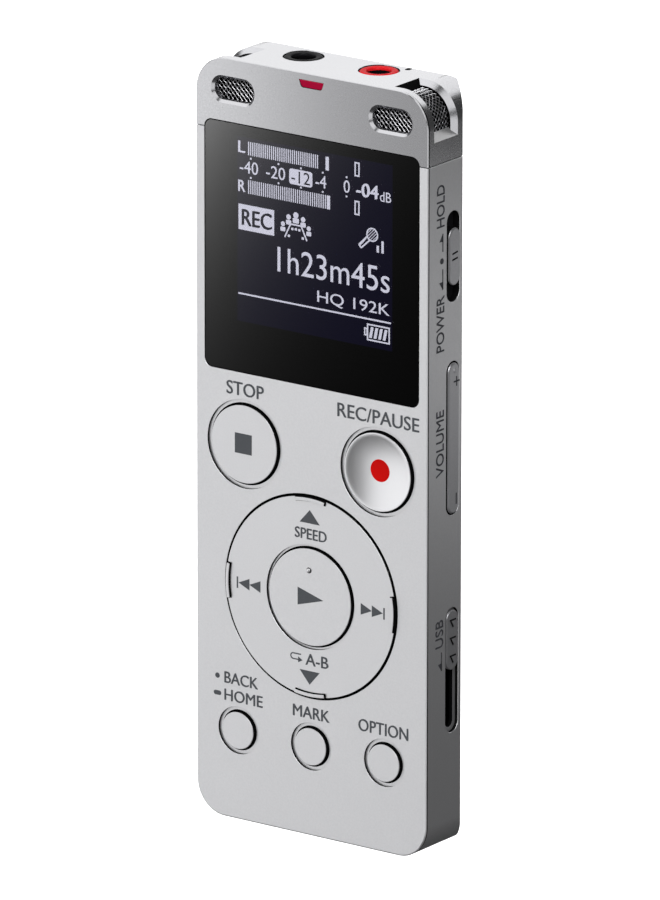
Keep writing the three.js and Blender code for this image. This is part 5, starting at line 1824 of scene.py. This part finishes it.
@dataclass(frozen=True)
class Softbox:
    """A soft area light that faces the recorder.

    Attributes:
        azimuth, elevation: the direction it stands in, in degrees; azimuth 0 is in front.
        distance: how far away it is, in metres.
        width, height: its size in metres.
        radiance: how bright its face is.
        target: the point that it faces, in metres.
        only: the pieces that it lights, where it doesn't light them all.
        spared: the pieces that it doesn't light, besides the window and the display.
    """

    name: str
    azimuth: float
    elevation: float
    distance: float
    width: float
    height: float
    radiance: float
    target: tuple[float, float, float] = (0.0, 0.0, 0.051)
    only: tuple[str, ...] = ()
    spared: tuple[str, ...] = ()

    def build(self) -> None:
        """Makes the light and keeps it to the pieces that it is meant for."""
        light = bpy.data.lights.new(self.name, "AREA")
        light.shape = "RECTANGLE"
        light.size, light.size_y = self.width, self.height
        light.energy = self.radiance * math.pi * self.width * self.height
        lamp = link(self.name, light)
        towards = direction(self.azimuth, self.elevation)
        lamp.location = Vector(self.target) + towards * self.distance
        lamp.rotation_mode = "QUATERNION"
        lamp.rotation_quaternion = towards.to_track_quat("Z", "Y")
        lamp.visible_camera = False
        group = bpy.data.collections.new(self.name + "_pieces")
        for name in self.only or (*WINDOW_PIECES, *self.spared):
            group.objects.link(bpy.data.objects[name])
        if not self.only:
            for entry in group.collection_objects:
                entry.light_linking.link_state = "EXCLUDE"
        lamp.light_linking.receiver_collection = group


SOFTBOXES = (
    # The large box at the front left lights the whole front face.
    Softbox("front_left_box", -50.0, -2.0, 1.3, 1.35, 1.35, 1.38, spared=(*HEAD, *INSETS)),
    # The blasted head has a weaker light at the front left, so that it shades across.
    Softbox("head_front_box", -46.0, -8.0, 1.3, 1.5, 1.5, 0.33, only=HEAD),
    # A weaker one straight in front lifts the head's right half.
    Softbox("head_straight_box", 10.0, -3.0, 1.3, 0.7, 0.9, 0.4, only=HEAD),
    # The close one at its left.
    Softbox("head_left_box", -36.0, -16.6, 0.08, 0.12, 0.2, 0.72, (-0.079, -0.005, 0.097), only=HEAD),
    # The overhead box makes the top and the upper corners white.
    Softbox("overhead_box", -150.0, 30.0, 1.3, 2.4, 1.5, 1.12, spared=(*COLLARS, *GRILLES)),
    # A weaker one does the same for the two jack collars.
    Softbox("collar_box", -150.0, 30.0, 1.3, 2.4, 1.5, 0.36, only=COLLARS),
    # A dim box close behind on the right lightens the middle of the dark side.
    Softbox("right_side_box", 144.0, -16.6, 0.12, 0.10, 0.035, 0.6, (0.0183, 0.0, 0.072)),
    # A small box brightens the cut bevels that face right.
    Softbox("bevel_box", 54.0, -16.6, 1.2, 0.8, 0.8, 0.85),
    # A box above the camera brings out the inks, the mesh and the jacks.
    Softbox("camera_side_box", 40.0, 38.0, 1.2, 1.0, 1.0, 4.5, spared=HEAD),
    # The polished cuts of the head get the same box much dimmer.
    Softbox("cut_edge_box", 40.0, 38.0, 1.2, 1.0, 1.0, 0.95, only=HEAD),
    # A box at the upper left catches the lower bevels of each opening.
    Softbox("upper_left_box", -70.0, 50.0, 1.3, 1.2, 1.2, 1.15),
)


@dataclass
class Studio:
    """The camera, the pale floor and the soft lights.

    Attributes:
        azimuth, elevation, roll: the camera's angles in degrees.
        distance: how far it stands from the recorder's middle, in metres.
        lens_mm, sensor_mm: its focal length and the width of its sensor.
        aim: how far right and up of the recorder's middle it stands, in metres.
        floor_z, floor_reach: the floor's height and half its width, in metres.
        ambient: how bright the even light is.
        card_distance, card_half: where the window's reflected card is, and half its width, in metres.
        card_level, card_fall: how bright its middle is, and how fast that grows across and up it, per metre.
    """

    azimuth: float = 35.99
    elevation: float = 16.57
    roll: float = -0.058
    distance: float = 1.7134
    lens_mm: float = 532.52
    sensor_mm: float = 36.0
    aim: Point = (-0.000662, -0.000160)
    floor_z: float = -0.035
    floor_reach: float = 30.0
    ambient: float = 0.05
    card_distance: float = 0.25
    card_half: float = 0.06
    card_level: float = 0.166
    card_fall: Point = (-105.0, 41.0)

    def camera(self) -> None:
        """Places the camera at its viewing angle."""
        a = math.radians(self.azimuth)
        back = direction(self.azimuth, self.elevation)
        right = Vector((math.cos(a), math.sin(a), 0.0))
        up = back.cross(right)
        data = bpy.data.cameras.new("camera")
        data.sensor_width = self.sensor_mm
        data.lens = self.lens_mm
        data.clip_start, data.clip_end = 0.01, 50.0
        camera = link("camera", data)
        centre = Vector((0.0, 0.0, HEIGHT / 2 * MM))
        camera.location = centre + right * self.aim[0] + up * self.aim[1] + back * self.distance
        turn = Matrix((right, up, back)).transposed().to_4x4()
        camera.rotation_mode = "QUATERNION"
        camera.rotation_quaternion = (turn @ Matrix.Rotation(math.radians(-self.roll), 4, "Z")).to_quaternion()
        bpy.context.scene.camera = camera

    def floor(self) -> None:
        """A plain pale floor, well below the recorder so that its plug can slide out."""
        mesh = bpy.data.meshes.new("floor")
        reach = self.floor_reach
        mesh.from_pydata([(x * reach, y * reach, self.floor_z) for x, y in SQUARE], [], [(0, 1, 2, 3)])
        pale = empty_material("pale_paper_floor")
        tree = pale.node_tree
        place = add_node(tree, "ShaderNodeTexCoord").outputs["Object"]
        fibre = add_node(tree, "ShaderNodeTexNoise", {"Vector": place, "Scale": 400.0, "Detail": 2.0}).outputs[0]
        tone = add_node(tree, "ShaderNodeMix", {0: fibre, 6: (0.96, 0.96, 0.96, 1), 7: (0.9, 0.9, 0.9, 1)},
                        data_type="RGBA").outputs[2]
        shader = add_node(tree, "ShaderNodeBsdfPrincipled",
                          {"Base Color": tone, "Roughness": 0.9, "Emission Color": (1, 1, 1, 1),
                           "Emission Strength": 1.0})
        add_node(tree, "ShaderNodeOutputMaterial", {"Surface": shader.outputs[0]})
        mesh.materials.append(pale)
        ground = link("floor", mesh)
        ground.visible_diffuse = False
        ground.visible_glossy = False
        ground.visible_transmission = False
        ground.visible_shadow = False

    def world(self) -> None:
        """White behind the object, and a dim even light on it."""
        world = bpy.data.worlds.new("studio")
        bpy.context.scene.world = world
        world.use_nodes = True
        tree = world.node_tree
        tree.nodes.clear()
        seen = add_node(tree, "ShaderNodeLightPath").outputs["Is Camera Ray"]
        level = add_node(tree, "ShaderNodeMapRange",
                         {"Value": seen, "To Min": self.ambient, "To Max": 1.0}).outputs[0]
        shade = add_node(tree, "ShaderNodeBackground", {"Color": (1, 1, 1, 1), "Strength": level})
        add_node(tree, "ShaderNodeOutputWorld", {"Surface": shade.outputs[0]})

    def window_card(self, pane: Object) -> None:
        """A graded card that only the window reflects, bright at its upper left."""
        view = direction(self.azimuth, self.elevation)
        mirror = Vector((-view.x, view.y, -view.z))
        centre = Vector((0.0, FRONT_Y * MM, 0.077)) + mirror * self.card_distance
        across = (Vector((1, 0, 0)) - mirror * mirror.x).normalized()
        rise = (Vector((0, 0, 1)) - mirror * mirror.z).normalized()
        half = self.card_half
        mesh = bpy.data.meshes.new("window_card")
        corners = [tuple(centre + across * u * half + rise * v * half) for u, v in SQUARE]
        mesh.from_pydata(corners, [], [(0, 1, 2, 3)])
        shader = empty_material("graded_card")
        tree = shader.node_tree
        place = add_node(tree, "ShaderNodeTexCoord").outputs["Object"]
        offset = add_node(tree, "ShaderNodeVectorMath", {0: place, 1: tuple(-centre)}, operation="ADD").outputs[0]
        fall: NodeSocket | float = 0.0
        for along, rate in zip((across, rise), self.card_fall):
            part = add_node(tree, "ShaderNodeVectorMath", {0: offset, 1: tuple(along)},
                            operation="DOT_PRODUCT").outputs["Value"]
            fall = add_node(tree, "ShaderNodeMath", {0: part, 1: rate, 2: fall},
                            operation="MULTIPLY_ADD").outputs[0]
        glow = add_node(tree, "ShaderNodeMath", {0: fall}, operation="EXPONENT").outputs[0]
        glow = add_node(tree, "ShaderNodeMath", {0: glow, 1: self.card_level}, operation="MULTIPLY").outputs[0]
        light = add_node(tree, "ShaderNodeEmission", {"Color": (1, 1, 1, 1), "Strength": glow}).outputs[0]
        clear = add_node(tree, "ShaderNodeBsdfTransparent").outputs[0]
        both = add_node(tree, "ShaderNodeAddShader", {0: light, 1: clear}).outputs[0]
        add_node(tree, "ShaderNodeOutputMaterial", {"Surface": both})
        mesh.materials.append(shader)
        card = link("window_card", mesh)
        only = bpy.data.collections.new("window_only")
        only.objects.link(pane)
        card.light_linking.receiver_collection = only
        card.visible_camera = card.visible_diffuse = card.visible_shadow = False

    def build(self, pane: Object) -> None:
        """Sets the whole studio."""
        bpy.context.scene.view_settings.view_transform = "Standard"
        self.camera()
        self.floor()
        self.world()
        for box in SOFTBOXES:
            box.build()
        self.window_card(pane)


def main() -> None:
    """Builds every sub-assembly, then the studio."""
    logging.basicConfig(level=logging.INFO, format="%(name)s: %(message)s")
    weave, rows, pins = weave_tree(), row_tree(), ring_tree()
    case, controls, plug = Case(), Controls(), Plug()
    speaker = Loudspeaker(pins)
    case.build(controls, plug, speaker)
    Head(case).build(weave)
    pane = Display(case).build(rows)
    controls.build()
    plug.build()
    speaker.build()
    CardCover().build()
    Printing(controls).build()
    Inside().build()
    Studio().build(pane)
    bpy.context.view_layer.update()


if __name__ == "__main__":
    main()
